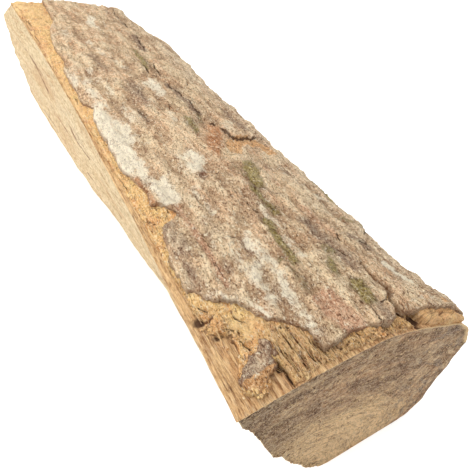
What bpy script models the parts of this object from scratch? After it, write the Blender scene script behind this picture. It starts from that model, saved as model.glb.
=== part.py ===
"""A split log of firewood: one billet of a round stem with its two bark layers, lying on a split face.

The log lies along Y, with the photographed saw cut at -Y and the bark uppermost. It is drawn in
millimetres in a working frame (X from the left bark corner, Y from the near saw cut, Z from the
floor), then centred on the floor and written in metres.
"""
import math

import bmesh
import bpy
from mathutils import Vector, noise
from mathutils.geometry import delaunay_2d_cdt

MM = 0.001

# Driving dimensions, in millimetres
LENGTH = 400.0
INNER_BARK = 1.8
OUTER_BARK = 2.2
SIDE_PLATE = 2.6
FLAKE_BARK = 1.8
FLAKE_SIZE = 5.0
GAP = 0.6
WOOD_CELL = 9.0
WOOD_ROWS = 36
ARCH_STEPS = 20
CAP_CELL = 14.0
BARK_CELL = 6.0
NEAR_ROW = 4.0
FAR_ROW = 13.0
FAR_ROWS_FROM = 110.0
GRAIN_SIZE = 9.0
GRAIN_STRETCH = 7.0
GRAIN_RELIEF = 0.9
RIDGE_SIZE = 16.0
RIDGE_STRETCH = 2.5
BARK_RELIEF = 0.8

# The wood's long edges as (x, z) at each of the stations along Y.
# The billet twists a little: its left face leans in under the corner near, and bulges out far.
STATIONS = (0, 50, 100, 200, 300, 400)
LEFT_EDGE = ((0, 98), (1.8, 97.8), (3, 97.5), (3, 97.5), (2.5, 98), (0, 98))
CROWN_LEFT = ((29, 100.8), (29.8, 100.3), (30.3, 99.6), (30.4, 97.6), (29.6, 95.5), (24, 92.6))
CROWN = ((56.5, 99.6), (55.6, 97), (55.4, 95), (55.9, 92.1), (55.2, 89.2), (47, 87))
CROWN_RIGHT = ((82.5, 88.3), (79, 85), (78.3, 83.4), (79.4, 80.9), (79.3, 78.6), (70, 80))
RIGHT_EDGE = ((106, 71), (99, 66.7), (98.8, 66), (101, 64), (102, 64), (91, 69.5))
SHOULDER = ((113, 55), (106.5, 50), (105, 48), (106, 47), (106, 47), (95.5, 53.5))
RIGHT_LOW = ((106, 29), (103.5, 27.5), (102, 26), (101, 25), (98, 24), (89, 24))
RIGHT_FOOT = ((103.5, 9), (101, 8.5), (99, 8), (96, 7), (92, 8), (83, 9))
BASE_RIGHT = ((96, 0), (94, 0), (92, 0), (88, 0), (84, 0), (75, 0))
BASE_LEFT = ((42, 0), (38, 0), (34, 0), (24, 0), (14, 0), (8, 0))
LEFT_FOOT = ((29, 20), (24, 18.5), (19, 17), (8, 17), (-2, 18), (-7, 20))
LEFT_WAIST = ((17, 45), (12.5, 50), (9, 55), (3, 55), (-1, 58), (-9, 60))
LEFT_HIGH = ((6, 78), (5.5, 80), (5, 82), (3, 82), (0, 84), (-8.5, 90))

UNDER_BARK = (LEFT_EDGE, CROWN_LEFT, CROWN, CROWN_RIGHT, RIGHT_EDGE, SHOULDER)
SPLIT_FACES = (SHOULDER, RIGHT_LOW, RIGHT_FOOT, BASE_RIGHT, BASE_LEFT, LEFT_FOOT, LEFT_WAIST, LEFT_HIGH,
               LEFT_EDGE)

# Torn outlines of the bark, as (s, y): s across the bark from the left corner, y from the near cut
INNER_LEFT = ((0.8, 398.5), (0.8, 300), (0.8, 200), (0.8, 110), (1.2, 72), (2, 53), (4, 40), (8, 33),
              (11, 28), (9, 21), (9, 16), (3.5, 9), (6, 4), (10, 1.8))
INNER_NEAR = ((13, 3), (15, 6), (17.5, 12), (20.5, 11), (23, 3), (27, 1.2), (36, 1), (45, 1.6), (53, 1),
              (62, 1.4), (70, 1.6), (80, 1), (92, 0.8), (104, 1.5), (113, 4), (121, 8), (128, 13))
INNER_RIGHT = ((129, 30), (126, 60), (122, 100), (121, 150), (122, 200), (120, 250), (121, 300),
               (116, 350), (110, 398.5))
OUTER_LEFT = ((25, 398), (22, 360), (20, 338), (12, 314), (8, 280), (9, 260), (5, 243), (5, 200),
              (9, 190), (5, 178), (5, 150), (4, 128), (9, 107), (7, 98), (13, 94), (16, 84), (7, 83),
              (5, 75), (3, 62), (3, 50), (7, 43), (11, 38), (17, 35), (20, 26), (28, 18), (31, 13),
              (32.5, 5))
OUTER_NEAR = ((39, 4), (45, 6), (51, 5), (57, 3), (65, 7), (65.5, 13), (68, 17), (69, 22), (68, 28),
              (69, 36), (70, 45), (72, 58), (84, 66), (100, 73), (112, 78), (121, 82))
OUTER_RIGHT = ((119, 120), (118, 160), (120, 200), (117, 240), (119, 290), (114, 345), (106, 398))
PLATE_SEAM = ((66, 8), (66.5, 13), (69, 16.5), (70, 22), (69, 28), (70, 36), (71, 45), (73, 57),
              (84.5, 65), (100.5, 72), (112.5, 77), (121, 80.5))
PLATE_OUTER = ((124, 60), (127, 32), (126, 15), (118, 11), (108, 8.5), (100, 7), (90, 9), (80, 8), (73, 9.5))
FLAKE = ((17, 16.5), (13, 15), (9.5, 14), (6.5, 10.5), (5, 8), (7, 4), (10, 2.8), (12, 4.4), (14, 7.5),
         (16, 12))

# The far right plate of bark stands proud of the rest along this seam, as s at each y
FAR_SEAM = ((400, 95), (300, 84), (235, 72), (204, 64), (165, 64), (150, 68))
FAR_PLATE_ENDS = (150.0, 338.0)
FAR_PLATE_RISE = 1.8
# Near the right corner the inner bark has rolled up and carries the side plate
ROLL_RISE = 3.6
ROLL_CENTRE = (86.0, 1.0)
ROLL_REACH = (21.0, 13.0)


def clear_scene():
    for old in list(bpy.data.objects):
        bpy.data.objects.remove(old)


def smooth_step(t):
    t = min(max(t, 0.0), 1.0)
    return t * t * (3 - 2 * t)


def hermite(p0, p1, m0, m1, t):
    """The cubic from p0 to p1 with slopes m0 and m1 over one step."""
    return (p0 * (2 * t**3 - 3 * t**2 + 1) + m0 * (t**3 - 2 * t**2 + t)
            + p1 * (3 * t**2 - 2 * t**3) + m1 * (t**3 - t**2))


def spline(points, knots, place):
    """A smooth curve through points that stand at the given knots."""
    last = len(points) - 1
    chords = [(points[k + 1] - points[k]) / (knots[k + 1] - knots[k]) for k in range(last)]

    def slope(k):
        if k in (0, last):
            return chords[min(k, last - 1)]
        share = (knots[k + 1] - knots[k]) / (knots[k + 1] - knots[k - 1])
        return chords[k - 1] * share + chords[k] * (1 - share)

    i = max(k for k in range(last) if knots[k] <= place)
    span = knots[i + 1] - knots[i]
    return hermite(points[i], points[i + 1], slope(i) * span, slope(i + 1) * span, (place - knots[i]) / span)


def distances(points):
    """How far along a line of points each of them is."""
    reach = [0.0]
    for a, b in zip(points, points[1:]):
        reach.append(reach[-1] + (b - a).length)
    return reach


def rail(edge, y):
    """Where one long edge of the wood stands at y."""
    return spline([Vector(p) for p in edge], STATIONS, y)


class Arch:
    """The bark side of the wood at one y: a smooth path from the left corner to the right shoulder."""

    STEPS = 40

    def __init__(self, y):
        edges = [rail(edge, y) for edge in UNDER_BARK]
        knots = distances(edges)
        self.points = [spline(edges, knots, knots[-1] * i / self.STEPS) for i in range(self.STEPS + 1)]
        self.reach = distances(self.points)

    def at(self, s):
        """The point at a distance s along the path, and the way out of the wood there."""
        s = min(max(s, 0.0), self.reach[-1])
        i = max(k for k in range(self.STEPS) if self.reach[k] <= s)
        step = self.points[i + 1] - self.points[i]
        before = self.points[max(i - 1, 0)]
        after = self.points[min(i + 2, self.STEPS)]
        t = (s - self.reach[i]) / step.length
        along = (self.points[i + 1] - before) * (1 - t) + (after - self.points[i]) * t
        return self.points[i] + step * t, Vector((-along.y, along.x)).normalized()


ARCHES = {}


def arch(y):
    key = round(y, 3)
    if key not in ARCHES:
        ARCHES[key] = Arch(y)
    return ARCHES[key]


def over_wood(s, y, height):
    """The working-frame point at a height over the wood's bark side."""
    point, out = arch(y).at(s)
    return Vector((point.x + out.x * height, y, point.y + out.y * height))


def roughness(point, size, depth, stretch=1.0):
    """Gentle relief that repeats nowhere; stretch draws it out along the grain."""
    return depth * noise.noise(Vector((point[0] / size, point[1] / (size * stretch), point[2] / size)))


def divided(outline, step):
    """The outline's points with more between them, so that no edge is longer than step."""
    points = []
    for a, b in zip(outline, outline[1:] + outline[:1]):
        parts = max(1, math.ceil(math.dist(a, b) / step))
        points += [(a[0] + (b[0] - a[0]) * k / parts, a[1] + (b[1] - a[1]) * k / parts) for k in range(parts)]
    return points


def edge_distance(p, outline):
    """How far a flat point lies from an outline."""
    best = 1e9
    for a, b in zip(outline, outline[1:] + outline[:1]):
        ab = (b[0] - a[0], b[1] - a[1])
        t = ((p[0] - a[0]) * ab[0] + (p[1] - a[1]) * ab[1]) / (ab[0] ** 2 + ab[1] ** 2)
        t = min(max(t, 0.0), 1.0)
        best = min(best, math.dist(p, (a[0] + ab[0] * t, a[1] + ab[1] * t)))
    return best


def rows_along():
    """The y of each row of bark cells, closer together near the torn near end."""
    rows = [0.0]
    while rows[-1] < LENGTH:
        rows.append(rows[-1] + NEAR_ROW + (FAR_ROW - NEAR_ROW) * smooth_step(rows[-1] / FAR_ROWS_FROM))
    return rows


def filled_outline(outline):
    """Even triangles that fill a flat outline of bark: their points and their corners."""
    rim = divided(list(outline), BARK_CELL)
    low, high = min(p[0] for p in rim), max(p[0] for p in rim)
    columns = range(math.floor(low / BARK_CELL), math.ceil(high / BARK_CELL) + 1)
    grid = [(i * BARK_CELL, y) for i in columns for y in rows_along()]
    inside = [p for p in grid if edge_distance(p, rim) > 0.4 * BARK_CELL]
    count = len(rim)
    edges = [(k, (k + 1) % count) for k in range(count)]
    points = [Vector(p) for p in rim + inside]
    result = delaunay_2d_cdt(points, edges, [list(range(count))], 1, 1e-4)
    return result[0], result[2]


def solid_from(bm, name, colour, rough):
    """One closed object in metres from a mesh in millimetres."""
    bmesh.ops.triangulate(bm, faces=bm.faces)
    bmesh.ops.recalc_face_normals(bm, faces=bm.faces)
    if bm.calc_volume(signed=True) < 0:
        bmesh.ops.reverse_faces(bm, faces=bm.faces)
    bmesh.ops.scale(bm, vec=(MM, MM, MM), verts=bm.verts)
    mesh = bpy.data.meshes.new(name)
    bm.to_mesh(mesh)
    bm.free()
    mesh.shade_smooth()
    mesh.set_sharp_from_angle(angle=math.radians(40))
    mesh.materials.append(finish(name, colour, rough))
    piece = bpy.data.objects.new(name, mesh)
    bpy.context.collection.objects.link(piece)
    return piece


def finish(name, colour, rough):
    material = bpy.data.materials.new(name)
    material.use_nodes = True
    shader = material.node_tree.nodes["Principled BSDF"]
    shader.inputs["Base Color"].default_value = (*colour, 1.0)
    shader.inputs["Roughness"].default_value = rough
    shader.inputs["Metallic"].default_value = 0.0
    return material


def wood_section(y):
    """The wood's outline at y: the arch under the bark, then round the split faces and the base."""
    curve = arch(y)
    ring = [curve.at(curve.reach[-1] * i / ARCH_STEPS)[0] for i in range(ARCH_STEPS + 1)]
    for start, end in zip(SPLIT_FACES, SPLIT_FACES[1:]):
        a, b = rail(start, y), rail(end, y)
        out = Vector((a.y - b.y, b.x - a.x)).normalized()
        parts = round(math.dist(start[0], end[0]) / WOOD_CELL)
        for k in range(1 if start is SHOULDER else 0, parts):
            p = a.lerp(b, k / parts)
            if p.y > 0.01:
                p -= out * abs(roughness((p.x, y, p.y), GRAIN_SIZE, GRAIN_RELIEF, GRAIN_STRETCH))
            ring.append(p)
    return ring


def cap(bm, ring, y):
    """Closes one saw-cut end with even triangles that share the ring's own corners."""
    flat = [(v.co.x, v.co.z) for v in ring]
    grid = [(i * CAP_CELL, j * CAP_CELL) for i in range(-1, 9) for j in range(8)]
    inside = [p for p in grid if edge_distance(p, flat) > 0.4 * CAP_CELL]
    count = len(flat)
    edges = [(k, (k + 1) % count) for k in range(count)]
    points = [Vector(p) for p in flat + inside]
    result = delaunay_2d_cdt(points, edges, [list(range(count))], 1, 1e-4)
    corners = [ring[s[0]] if s[0] < count else bm.verts.new((p.x, y, p.y))
               for p, s in zip(result[0], result[3])]
    for face in result[2]:
        bm.faces.new([corners[k] for k in face])
    bmesh.ops.delete(bm, geom=[v for v in corners if not v.link_faces], context="VERTS")


def make_wood():
    """The billet: a lofted wedge of the stem between two saw cuts, flat on its base."""
    bm = bmesh.new()
    rings = []
    for j in range(WOOD_ROWS + 1):
        y = LENGTH * j / WOOD_ROWS
        rings.append([bm.verts.new((p.x, y, max(p.y, 0.0))) for p in wood_section(y)])
    for near, far in zip(rings, rings[1:]):
        for k in range(len(near)):
            m = (k + 1) % len(near)
            bm.faces.new((near[k], near[m], far[m], far[k]))
    cap(bm, rings[0], 0.0)
    cap(bm, rings[-1], LENGTH)
    return solid_from(bm, "wood", (0.62, 0.45, 0.26), 0.75)


def inner_thickness(s, y):
    """The inner bark thins out at the split corner and rolls up at the near right corner."""
    thick = INNER_BARK * (0.3 + 0.7 * smooth_step(s / 9.0))
    across = (s - ROLL_CENTRE[0]) / ROLL_REACH[0]
    deep = (y - ROLL_CENTRE[1]) / ROLL_REACH[1]
    return thick + ROLL_RISE * smooth_step(1.0 - math.hypot(across, deep))


def far_plate(s, y):
    """How far the far right plate stands proud at a place on the bark."""
    seam = FAR_SEAM[-1][1]
    for (y0, s0), (y1, s1) in zip(FAR_SEAM, FAR_SEAM[1:]):
        if y1 <= y <= y0:
            seam = s0 + (s1 - s0) * (y0 - y) / (y0 - y1)
    ends = smooth_step((y - FAR_PLATE_ENDS[0]) / 7) * smooth_step((FAR_PLATE_ENDS[1] - y) / 7)
    return FAR_PLATE_RISE * smooth_step((s - seam + 2) / 4) * ends


def bark_height(s, y):
    """The height over the wood at which the outer bark starts."""
    return 2 * GAP + inner_thickness(s, y)


def make_sheet(name, outline, bottom, top, colour, rough):
    """A torn sheet of bark: its outline filled twice, at two heights over the wood, and walled."""
    points, faces = filled_outline(outline)
    bm = bmesh.new()
    under = [bm.verts.new(over_wood(p.x, p.y, bottom(p.x, p.y))) for p in points]
    over = [bm.verts.new(over_wood(p.x, p.y, top(p.x, p.y))) for p in points]
    for face in faces:
        bm.faces.new([over[k] for k in face])
        bm.faces.new([under[k] for k in reversed(face)])
    sides = {(a, b) for face in faces for a, b in zip(face, face[1:] + face[:1])}
    for a, b in sorted(sides):
        if (b, a) not in sides:
            bm.faces.new((over[b], over[a], under[a], under[b]))
    bmesh.ops.delete(bm, geom=[v for v in bm.verts if not v.link_faces], context="VERTS")
    return solid_from(bm, name, colour, rough)


def make_inner_bark():
    """The tan, fibrous bast next to the wood."""
    outline = INNER_LEFT + INNER_NEAR + INNER_RIGHT
    return make_sheet("inner_bark", outline, lambda s, y: GAP, lambda s, y: GAP + inner_thickness(s, y),
                      (0.60, 0.35, 0.16), 0.85)


def make_outer_bark():
    """The grey bark plate that covers most of the curved side, with the proud far right plate in it."""
    def top(s, y):
        ridges = roughness((s, y, 0.0), RIDGE_SIZE, BARK_RELIEF, RIDGE_STRETCH)
        return bark_height(s, y) + OUTER_BARK + far_plate(s, y) + ridges
    outline = OUTER_LEFT + OUTER_NEAR + OUTER_RIGHT
    return make_sheet("outer_bark", outline, bark_height, top, (0.42, 0.34, 0.26), 0.9)


def make_side_plate():
    """The thick grey plate at the near right corner, cracked loose and lifted on the rolled inner bark."""
    def top(s, y):
        return bark_height(s, y) + SIDE_PLATE + roughness((s, y, 3.0), RIDGE_SIZE, BARK_RELIEF, RIDGE_STRETCH)
    return make_sheet("side_plate", PLATE_SEAM + PLATE_OUTER, bark_height, top, (0.45, 0.37, 0.28), 0.9)


def make_bark_flake():
    """A small grey island of outer bark left on the inner bark at the near left corner."""
    def top(s, y):
        return bark_height(s, y) + FLAKE_BARK + roughness((s, y, 7.0), FLAKE_SIZE, BARK_RELIEF)
    return make_sheet("bark_flake", FLAKE, bark_height, top, (0.44, 0.38, 0.33), 0.9)


def centre_on_floor(pieces):
    """Puts the origin under the middle of the whole log's box, on the floor."""
    corners = [v.co for piece in pieces for v in piece.data.vertices]
    shift = [-(min(c[k] for c in corners) + max(c[k] for c in corners)) / 2 for k in (0, 1)]
    for piece in pieces:
        for v in piece.data.vertices:
            v.co.x += shift[0]
            v.co.y += shift[1]


clear_scene()
LOG = [make_wood(), make_inner_bark(), make_outer_bark(), make_side_plate(), make_bark_flake()]
centre_on_floor(LOG)
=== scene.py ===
import math

import bpy
import numpy as np
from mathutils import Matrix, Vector
from mathutils.geometry import delaunay_2d_cdt


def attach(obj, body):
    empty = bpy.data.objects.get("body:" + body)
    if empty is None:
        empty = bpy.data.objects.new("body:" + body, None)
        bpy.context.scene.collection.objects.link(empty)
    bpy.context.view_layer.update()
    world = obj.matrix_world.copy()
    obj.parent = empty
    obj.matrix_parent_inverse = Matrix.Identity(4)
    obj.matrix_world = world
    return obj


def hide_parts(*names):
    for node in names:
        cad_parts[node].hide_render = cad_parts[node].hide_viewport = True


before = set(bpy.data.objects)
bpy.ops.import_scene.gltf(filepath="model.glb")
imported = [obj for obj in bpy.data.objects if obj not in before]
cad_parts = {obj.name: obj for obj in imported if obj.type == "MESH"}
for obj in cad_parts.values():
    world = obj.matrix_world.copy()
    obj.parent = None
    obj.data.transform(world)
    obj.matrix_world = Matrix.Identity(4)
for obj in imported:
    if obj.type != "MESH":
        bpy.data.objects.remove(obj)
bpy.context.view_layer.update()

# Camera, light and floor
# A hand-held look down onto the near saw cut from its left, in even studio light that comes mostly from
# the upper left. The log lies alone on a plain pale floor.
MM = 0.001
# The log is measured from its left bark corner and its near saw cut, and stands centred on the floor.
MIDDLE = np.array([52.5, 200.0, 0.0])
CAMERA_PLACE = (-29.0, -50.2, 230.2)
CAMERA_LOOKS = (0.3375, 0.6281, -0.7011)
CAMERA_LENS = 35.39
FLOOR_SIZE = 12.0
KEY_FROM = (-1.0, 0.25, 0.75)
KEY_SIZE = 1.2
KEY_POWER = 10.0
FILL_FROM = (0.1, -0.2, 1.5)
FILL_SIZE = 2.0
FILL_POWER = 15.0
SKY = 0.66
FLOOR_LOOK = {
    "Base Color": (0.96, 0.96, 0.96, 1),
    "Roughness": 0.9,
    "Emission Color": (1, 1, 1, 1),
    "Emission Strength": 0.3,
}


def in_frame(points):
    """Working places in millimetres as places in the row's frame, in metres."""
    return (np.asarray(points, float) - MIDDLE) * MM


def show(thing):
    bpy.context.scene.collection.objects.link(thing)
    return thing


def aim(thing, place, direction):
    thing.location = place
    thing.rotation_euler = Vector(direction).to_track_quat("-Z", "Y").to_euler()


def soft_light(name, place, size, power):
    data = bpy.data.lights.new(name, "AREA")
    data.shape = "DISK"
    data.size = size
    data.energy = power
    lamp = show(bpy.data.objects.new(name, data))
    aim(lamp, place, -Vector(place))


camera = show(bpy.data.objects.new("camera", bpy.data.cameras.new("camera")))
camera.data.lens = CAMERA_LENS
camera.data.sensor_width = 36.0
camera.data.clip_start = 0.005
aim(camera, in_frame(CAMERA_PLACE), CAMERA_LOOKS)
bpy.context.scene.camera = camera
bpy.context.scene.view_settings.view_transform = "Standard"

soft_light("key", KEY_FROM, KEY_SIZE, KEY_POWER)
soft_light("fill", FILL_FROM, FILL_SIZE, FILL_POWER)
world = bpy.data.worlds.new("studio")
bpy.context.scene.world = world
world.use_nodes = True
world.node_tree.nodes["Background"].inputs["Color"].default_value = (1.0, 1.0, 1.0, 1.0)
world.node_tree.nodes["Background"].inputs["Strength"].default_value = SKY

half = FLOOR_SIZE / 2
floor_mesh = bpy.data.meshes.new("floor")
floor_mesh.from_pydata([(-half, -half, 0), (half, -half, 0), (half, half, 0), (-half, half, 0)], [],
                       [(0, 1, 2, 3)])
floor = show(bpy.data.objects.new("floor", floor_mesh))
floor_paint = bpy.data.materials.new("floor")
floor_paint.use_nodes = True
for socket, value in FLOOR_LOOK.items():
    floor_paint.node_tree.nodes["Principled BSDF"].inputs[socket].default_value = value
floor_mesh.materials.append(floor_paint)

# Wood
# One billet split from a round stem: a pale straw split face at the left, a smaller one at the right, a
# flat split base, and two greyed saw cuts. The curved side is smooth golden sapwood under the bark.
LENGTH = 400.0
# The billet's long edges, each as (x, z) at these stations along it
STATIONS = (0, 50, 100, 200, 300, 400)
LEFT_EDGE = ((0, 98), (1.8, 97.8), (3, 97.5), (3, 97.5), (2.5, 98), (0, 98))
CROWN_LEFT = ((29, 100.8), (29.8, 100.3), (30.3, 99.6), (30.4, 97.6), (29.6, 95.5), (24, 92.6))
CROWN = ((56.5, 99.6), (55.6, 97), (55.4, 95), (55.9, 92.1), (55.2, 89.2), (47, 87))
CROWN_RIGHT = ((82.5, 88.3), (79, 85), (78.3, 83.4), (79.4, 80.9), (79.3, 78.6), (70, 80))
RIGHT_EDGE = ((106, 71), (99, 66.7), (98.8, 66), (101, 64), (102, 64), (91, 69.5))
SHOULDER = ((113, 55), (106.5, 50), (105, 48), (106, 47), (106, 47), (95.5, 53.5))
RIGHT_LOW = ((106, 29), (103.5, 27.5), (102, 26), (101, 25), (98, 24), (89, 24))
RIGHT_FOOT = ((103.5, 9), (101, 8.5), (99, 8), (96, 7), (92, 8), (83, 9))
BASE_RIGHT = ((96, 0), (94, 0), (92, 0), (88, 0), (84, 0), (75, 0))
BASE_LEFT = ((42, 0), (38, 0), (34, 0), (24, 0), (14, 0), (8, 0))
LEFT_FOOT = ((29, 20), (24, 18.5), (19, 17), (8, 17), (-2, 18), (-7, 20))
LEFT_WAIST = ((17, 45), (12.5, 50), (9, 55), (3, 55), (-1, 58), (-9, 60))
LEFT_HIGH = ((6, 78), (5.5, 80), (5, 82), (3, 82), (0, 84), (-8.5, 90))
# The edges across the bark side from the left, then those round the split faces from the right, with
# the number of columns that each split face is divided into
UNDER_BARK = (LEFT_EDGE, CROWN_LEFT, CROWN, CROWN_RIGHT, RIGHT_EDGE, SHOULDER)
SPLIT_FACES = (SHOULDER, RIGHT_LOW, RIGHT_FOOT, BASE_RIGHT, BASE_LEFT, LEFT_FOOT, LEFT_WAIST, LEFT_HIGH,
               LEFT_EDGE)
SPLIT_COLUMNS = (20, 15, 8, 22, 26, 33, 42, 26)
# Next to its two edges the bark side is divided finely this far in
FINE_LEFT, FINE_RIGHT = 30, 12
# How many times the corners between the split faces are eased
EASINGS = 10
PITH = (32.0, 2.0)
# The saw cuts are filled inwards to this middle, about this far from their rims
CUT_MIDDLE = (48.0, 46.0)
CUT_RADIUS = 45
# On the bark side a place is s across it from its left edge and y along it from the near saw cut. The
# side is charted at these steps in s and y, from this s on
CHART_STEP = 0.5
CHART_ROW = 2.0
CHART_LOW = -4.0
# Faces that meet at more than this many degrees meet at a crisp edge
CRISP_FROM = 42
# What a place far from every crack, and one far in from every edge, is given
NO_CRACK = 30.0
FAR_IN = 9.0

ROLLING = np.random.default_rng(11)
LATTICE = ROLLING.permutation(256)
SLOPES = ROLLING.normal(size=(256, 3))
SLOPES /= np.linalg.norm(SLOPES, axis=1)[:, None]


def smooth(low, high, x):
    t = np.clip((x - low) / (high - low), 0.0, 1.0)
    return t * t * (3 - 2 * t)


def noise(x, y, z=0.0, seed=0):
    """Gentle lumps about one unit wide, from -1 to 1, that repeat nowhere on the log."""
    p = np.stack(np.broadcast_arrays(x, y, z), -1).astype(float) + 19.37 * seed + 0.5
    cell = np.floor(p).astype(int)
    f = p - cell
    ease = f * f * f * (f * (f * 6 - 15) + 10)
    total = np.zeros(p.shape[:-1])
    for corner in np.ndindex(2, 2, 2):
        c = cell + corner
        pick = LATTICE[(LATTICE[(LATTICE[c[..., 0] & 255] + c[..., 1]) & 255] + c[..., 2]) & 255]
        share = np.prod(np.where(np.array(corner) > 0, ease, 1 - ease), -1)
        total += share * np.sum(SLOPES[pick] * (f - corner), -1)
    return 1.6 * total


def rough(x, y, z=0.0, seed=0, octaves=4, gain=0.5):
    """Noise with finer and fainter noise on it."""
    return sum(gain**k * noise(x * 2**k, y * 2**k, z * 2**k, seed + k) for k in range(octaves))


def creases(s, y, wide, long, seed):
    """Rounded folds with sharp valleys between them, of a given size, from 0 up."""
    return np.abs(noise(s / wide, y / long, 0, seed))


def curve(points, knots, places):
    """A smooth curve through points that stand at the given knots."""
    points, knots = np.asarray(points, float), np.asarray(knots, float)
    places = np.asarray(places, float)
    gaps = np.diff(knots)
    chords = np.diff(points, axis=0) / gaps[:, None]
    share = (gaps[1:] / (gaps[1:] + gaps[:-1]))[:, None]
    slopes = np.concatenate([chords[:1], chords[:-1] * share + chords[1:] * (1 - share), chords[-1:]])
    i = np.clip(np.searchsorted(knots, places, side="right") - 1, 0, len(gaps) - 1)
    t = ((places - knots[i]) / gaps[i])[:, None]
    start, end = slopes[i] * gaps[i][:, None], slopes[i + 1] * gaps[i][:, None]
    return (points[i] * (2 * t**3 - 3 * t**2 + 1) + start * (t**3 - 2 * t**2 + t)
            + points[i + 1] * (3 * t**2 - 2 * t**3) + end * (t**3 - t**2))


def reach(points):
    """How far along a line of points each of them is."""
    return np.concatenate([[0.0], np.cumsum(np.linalg.norm(np.diff(points, axis=0), axis=1))])


def bark_chart():
    """The wood's bark side as x, z and the way out, at even steps across (s) and along (y)."""
    ys = np.arange(0, LENGTH + 0.1, CHART_ROW)
    edges = np.stack([curve(edge, STATIONS, ys) for edge in UNDER_BARK], 1)
    steps = np.arange(CHART_LOW, 142.0, CHART_STEP)
    chart, widths = [], []
    for row in edges:
        knots = reach(row)
        line = curve(row, knots, np.linspace(0, knots[-1], 200))
        along = reach(line)
        x, z = (np.interp(steps, along, line[:, k]) for k in (0, 1))
        before, after = steps < 0, steps > along[-1]
        first = (line[2] - line[0]) / along[2]
        last = (line[-1] - line[-3]) / (along[-1] - along[-3])
        for k, values in ((0, x), (1, z)):
            values[before] += steps[before] * first[k]
            values[after] += (steps[after] - along[-1]) * last[k]
        dx, dz = np.gradient(x), np.gradient(z)
        size = np.hypot(dx, dz)
        chart.append(np.stack([x, z, -dz / size, dx / size], -1))
        widths.append(along[-1])
    return np.array(chart), np.array(widths)


CHART, WIDTHS = bark_chart()


def bark_width(y):
    """The length of the wood's bark side across the log at y."""
    return np.interp(y, np.arange(len(WIDTHS)) * CHART_ROW, WIDTHS)


def over_wood(s, y, height):
    """Where a place on the bark side is at a height over the wood."""
    s, y, height = np.broadcast_arrays(s, y, height)
    i = np.clip(y / CHART_ROW, 0, len(CHART) - 1.001)
    j = np.clip((s - CHART_LOW) / CHART_STEP, 0, CHART.shape[1] - 1.001)
    a, b = i.astype(int), j.astype(int)
    u, v = (i - a)[..., None], (j - b)[..., None]
    found = ((CHART[a, b] * (1 - v) + CHART[a, b + 1] * v) * (1 - u)
             + (CHART[a + 1, b] * (1 - v) + CHART[a + 1, b + 1] * v) * u)
    return np.stack([found[..., 0] + found[..., 2] * height, y, found[..., 1] + found[..., 3] * height], -1)


def graded(*spans):
    """Stations from 0 on: each span is where it ends and the step within it."""
    places = [0.0]
    for end, step in spans:
        parts = max(1, round((end - places[-1]) / step))
        places += list(np.linspace(places[-1], end, parts + 1)[1:])
    return np.array(places)


def blot(s, y, spots):
    """How strongly a place belongs to soft spots given as (s, y, half width, half length, strength)."""
    total = np.zeros(np.broadcast(s, y).shape)
    for s0, y0, wide, long, strength in spots:
        far = ((s - s0) / wide) ** 2 + ((y - y0) / long) ** 2
        total = np.maximum(total, strength * np.clip(1.25 - far, 0, 1))
    return total


def stripe(s, y, marks):
    """How strongly a place belongs to soft bent stripes given as (half width, strength, s, y, s, y, ...)."""
    total = np.zeros(np.broadcast(s, y).shape)
    for wide, strength, *line in marks:
        far = (to_line(s, y, line) / wide) ** 2
        total = np.maximum(total, strength * np.exp(-0.8 * far))
    return total


def to_line(s, y, line):
    """The signed distance from a bent line given as s, y, s, y, ..."""
    places = list(zip(line[::2], line[1::2]))
    best = np.full(np.broadcast(s, y).shape, 1e9)
    side = np.zeros_like(best)
    for (s0, y0), (s1, y1) in zip(places, places[1:]):
        ds, dy = s1 - s0, y1 - y0
        size = math.hypot(ds, dy)
        t = np.clip(((s - s0) * ds + (y - y0) * dy) / size**2, 0, 1)
        away = np.hypot(s - s0 - t * ds, y - y0 - t * dy)
        across = ((s - s0) * dy - (y - y0) * ds) / size
        side = np.where(away < best, np.where(across < 0, -1.0, 1.0) * away, side)
        best = np.minimum(best, away)
    return side


def crack_distance(s, y, lines, seed):
    """The signed distance, in shares of its half width, from the nearest of cracks given as
    (half width, s, y, s, y, ...)."""
    bent_s = s + 0.8 * noise(s / 3, y / 3, 0, seed) + 0.35 * noise(s / 0.9, y / 0.9, 0, seed + 1)
    bent_y = y + 0.7 * noise(s / 3, y / 3, 7, seed)
    best = np.full(np.shape(s), NO_CRACK)
    for wide, *line in lines:
        d = to_line(bent_s, bent_y, line) / wide
        best = np.where(np.abs(d) < np.abs(best), d, best)
    return best


def inside_of(s, y, outline):
    """The distance in from a closed outline, below 0 outside it."""
    best = np.full(np.broadcast(s, y).shape, 1e9)
    odd = np.zeros(best.shape, bool)
    for (s0, y0), (s1, y1) in zip(outline, outline[1:] + outline[:1]):
        ds, dy = s1 - s0, y1 - y0
        t = np.clip(((s - s0) * ds + (y - y0) * dy) / (ds * ds + dy * dy), 0, 1)
        best = np.minimum(best, np.hypot(s - s0 - t * ds, y - y0 - t * dy))
        if dy:
            odd ^= ((y0 > y) != (y1 > y)) & (s < s0 + ds * (y - y0) / dy)
    return np.where(odd, best, -best)


def closed_piece(name, points, faces, values, materials, picks=None):
    """A piece on the log's body from points in millimetres and faces. values holds, under each name, one
    number for each point, for the piece's material to read."""
    mesh = bpy.data.meshes.new(name)
    mesh.from_pydata(in_frame(points).tolist(), [], faces)
    for key, numbers in values.items():
        layer = mesh.attributes.new(key, "FLOAT", "POINT")
        layer.data.foreach_set("value", np.ascontiguousarray(numbers, np.float32))
    for material in materials:
        mesh.materials.append(material)
    if picks is not None:
        mesh.polygons.foreach_set("material_index", picks)
    mesh.shade_smooth()
    mesh.set_sharp_from_angle(angle=math.radians(CRISP_FROM))
    piece = show(bpy.data.objects.new(name, mesh))
    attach(piece, "root")
    return piece


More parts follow.
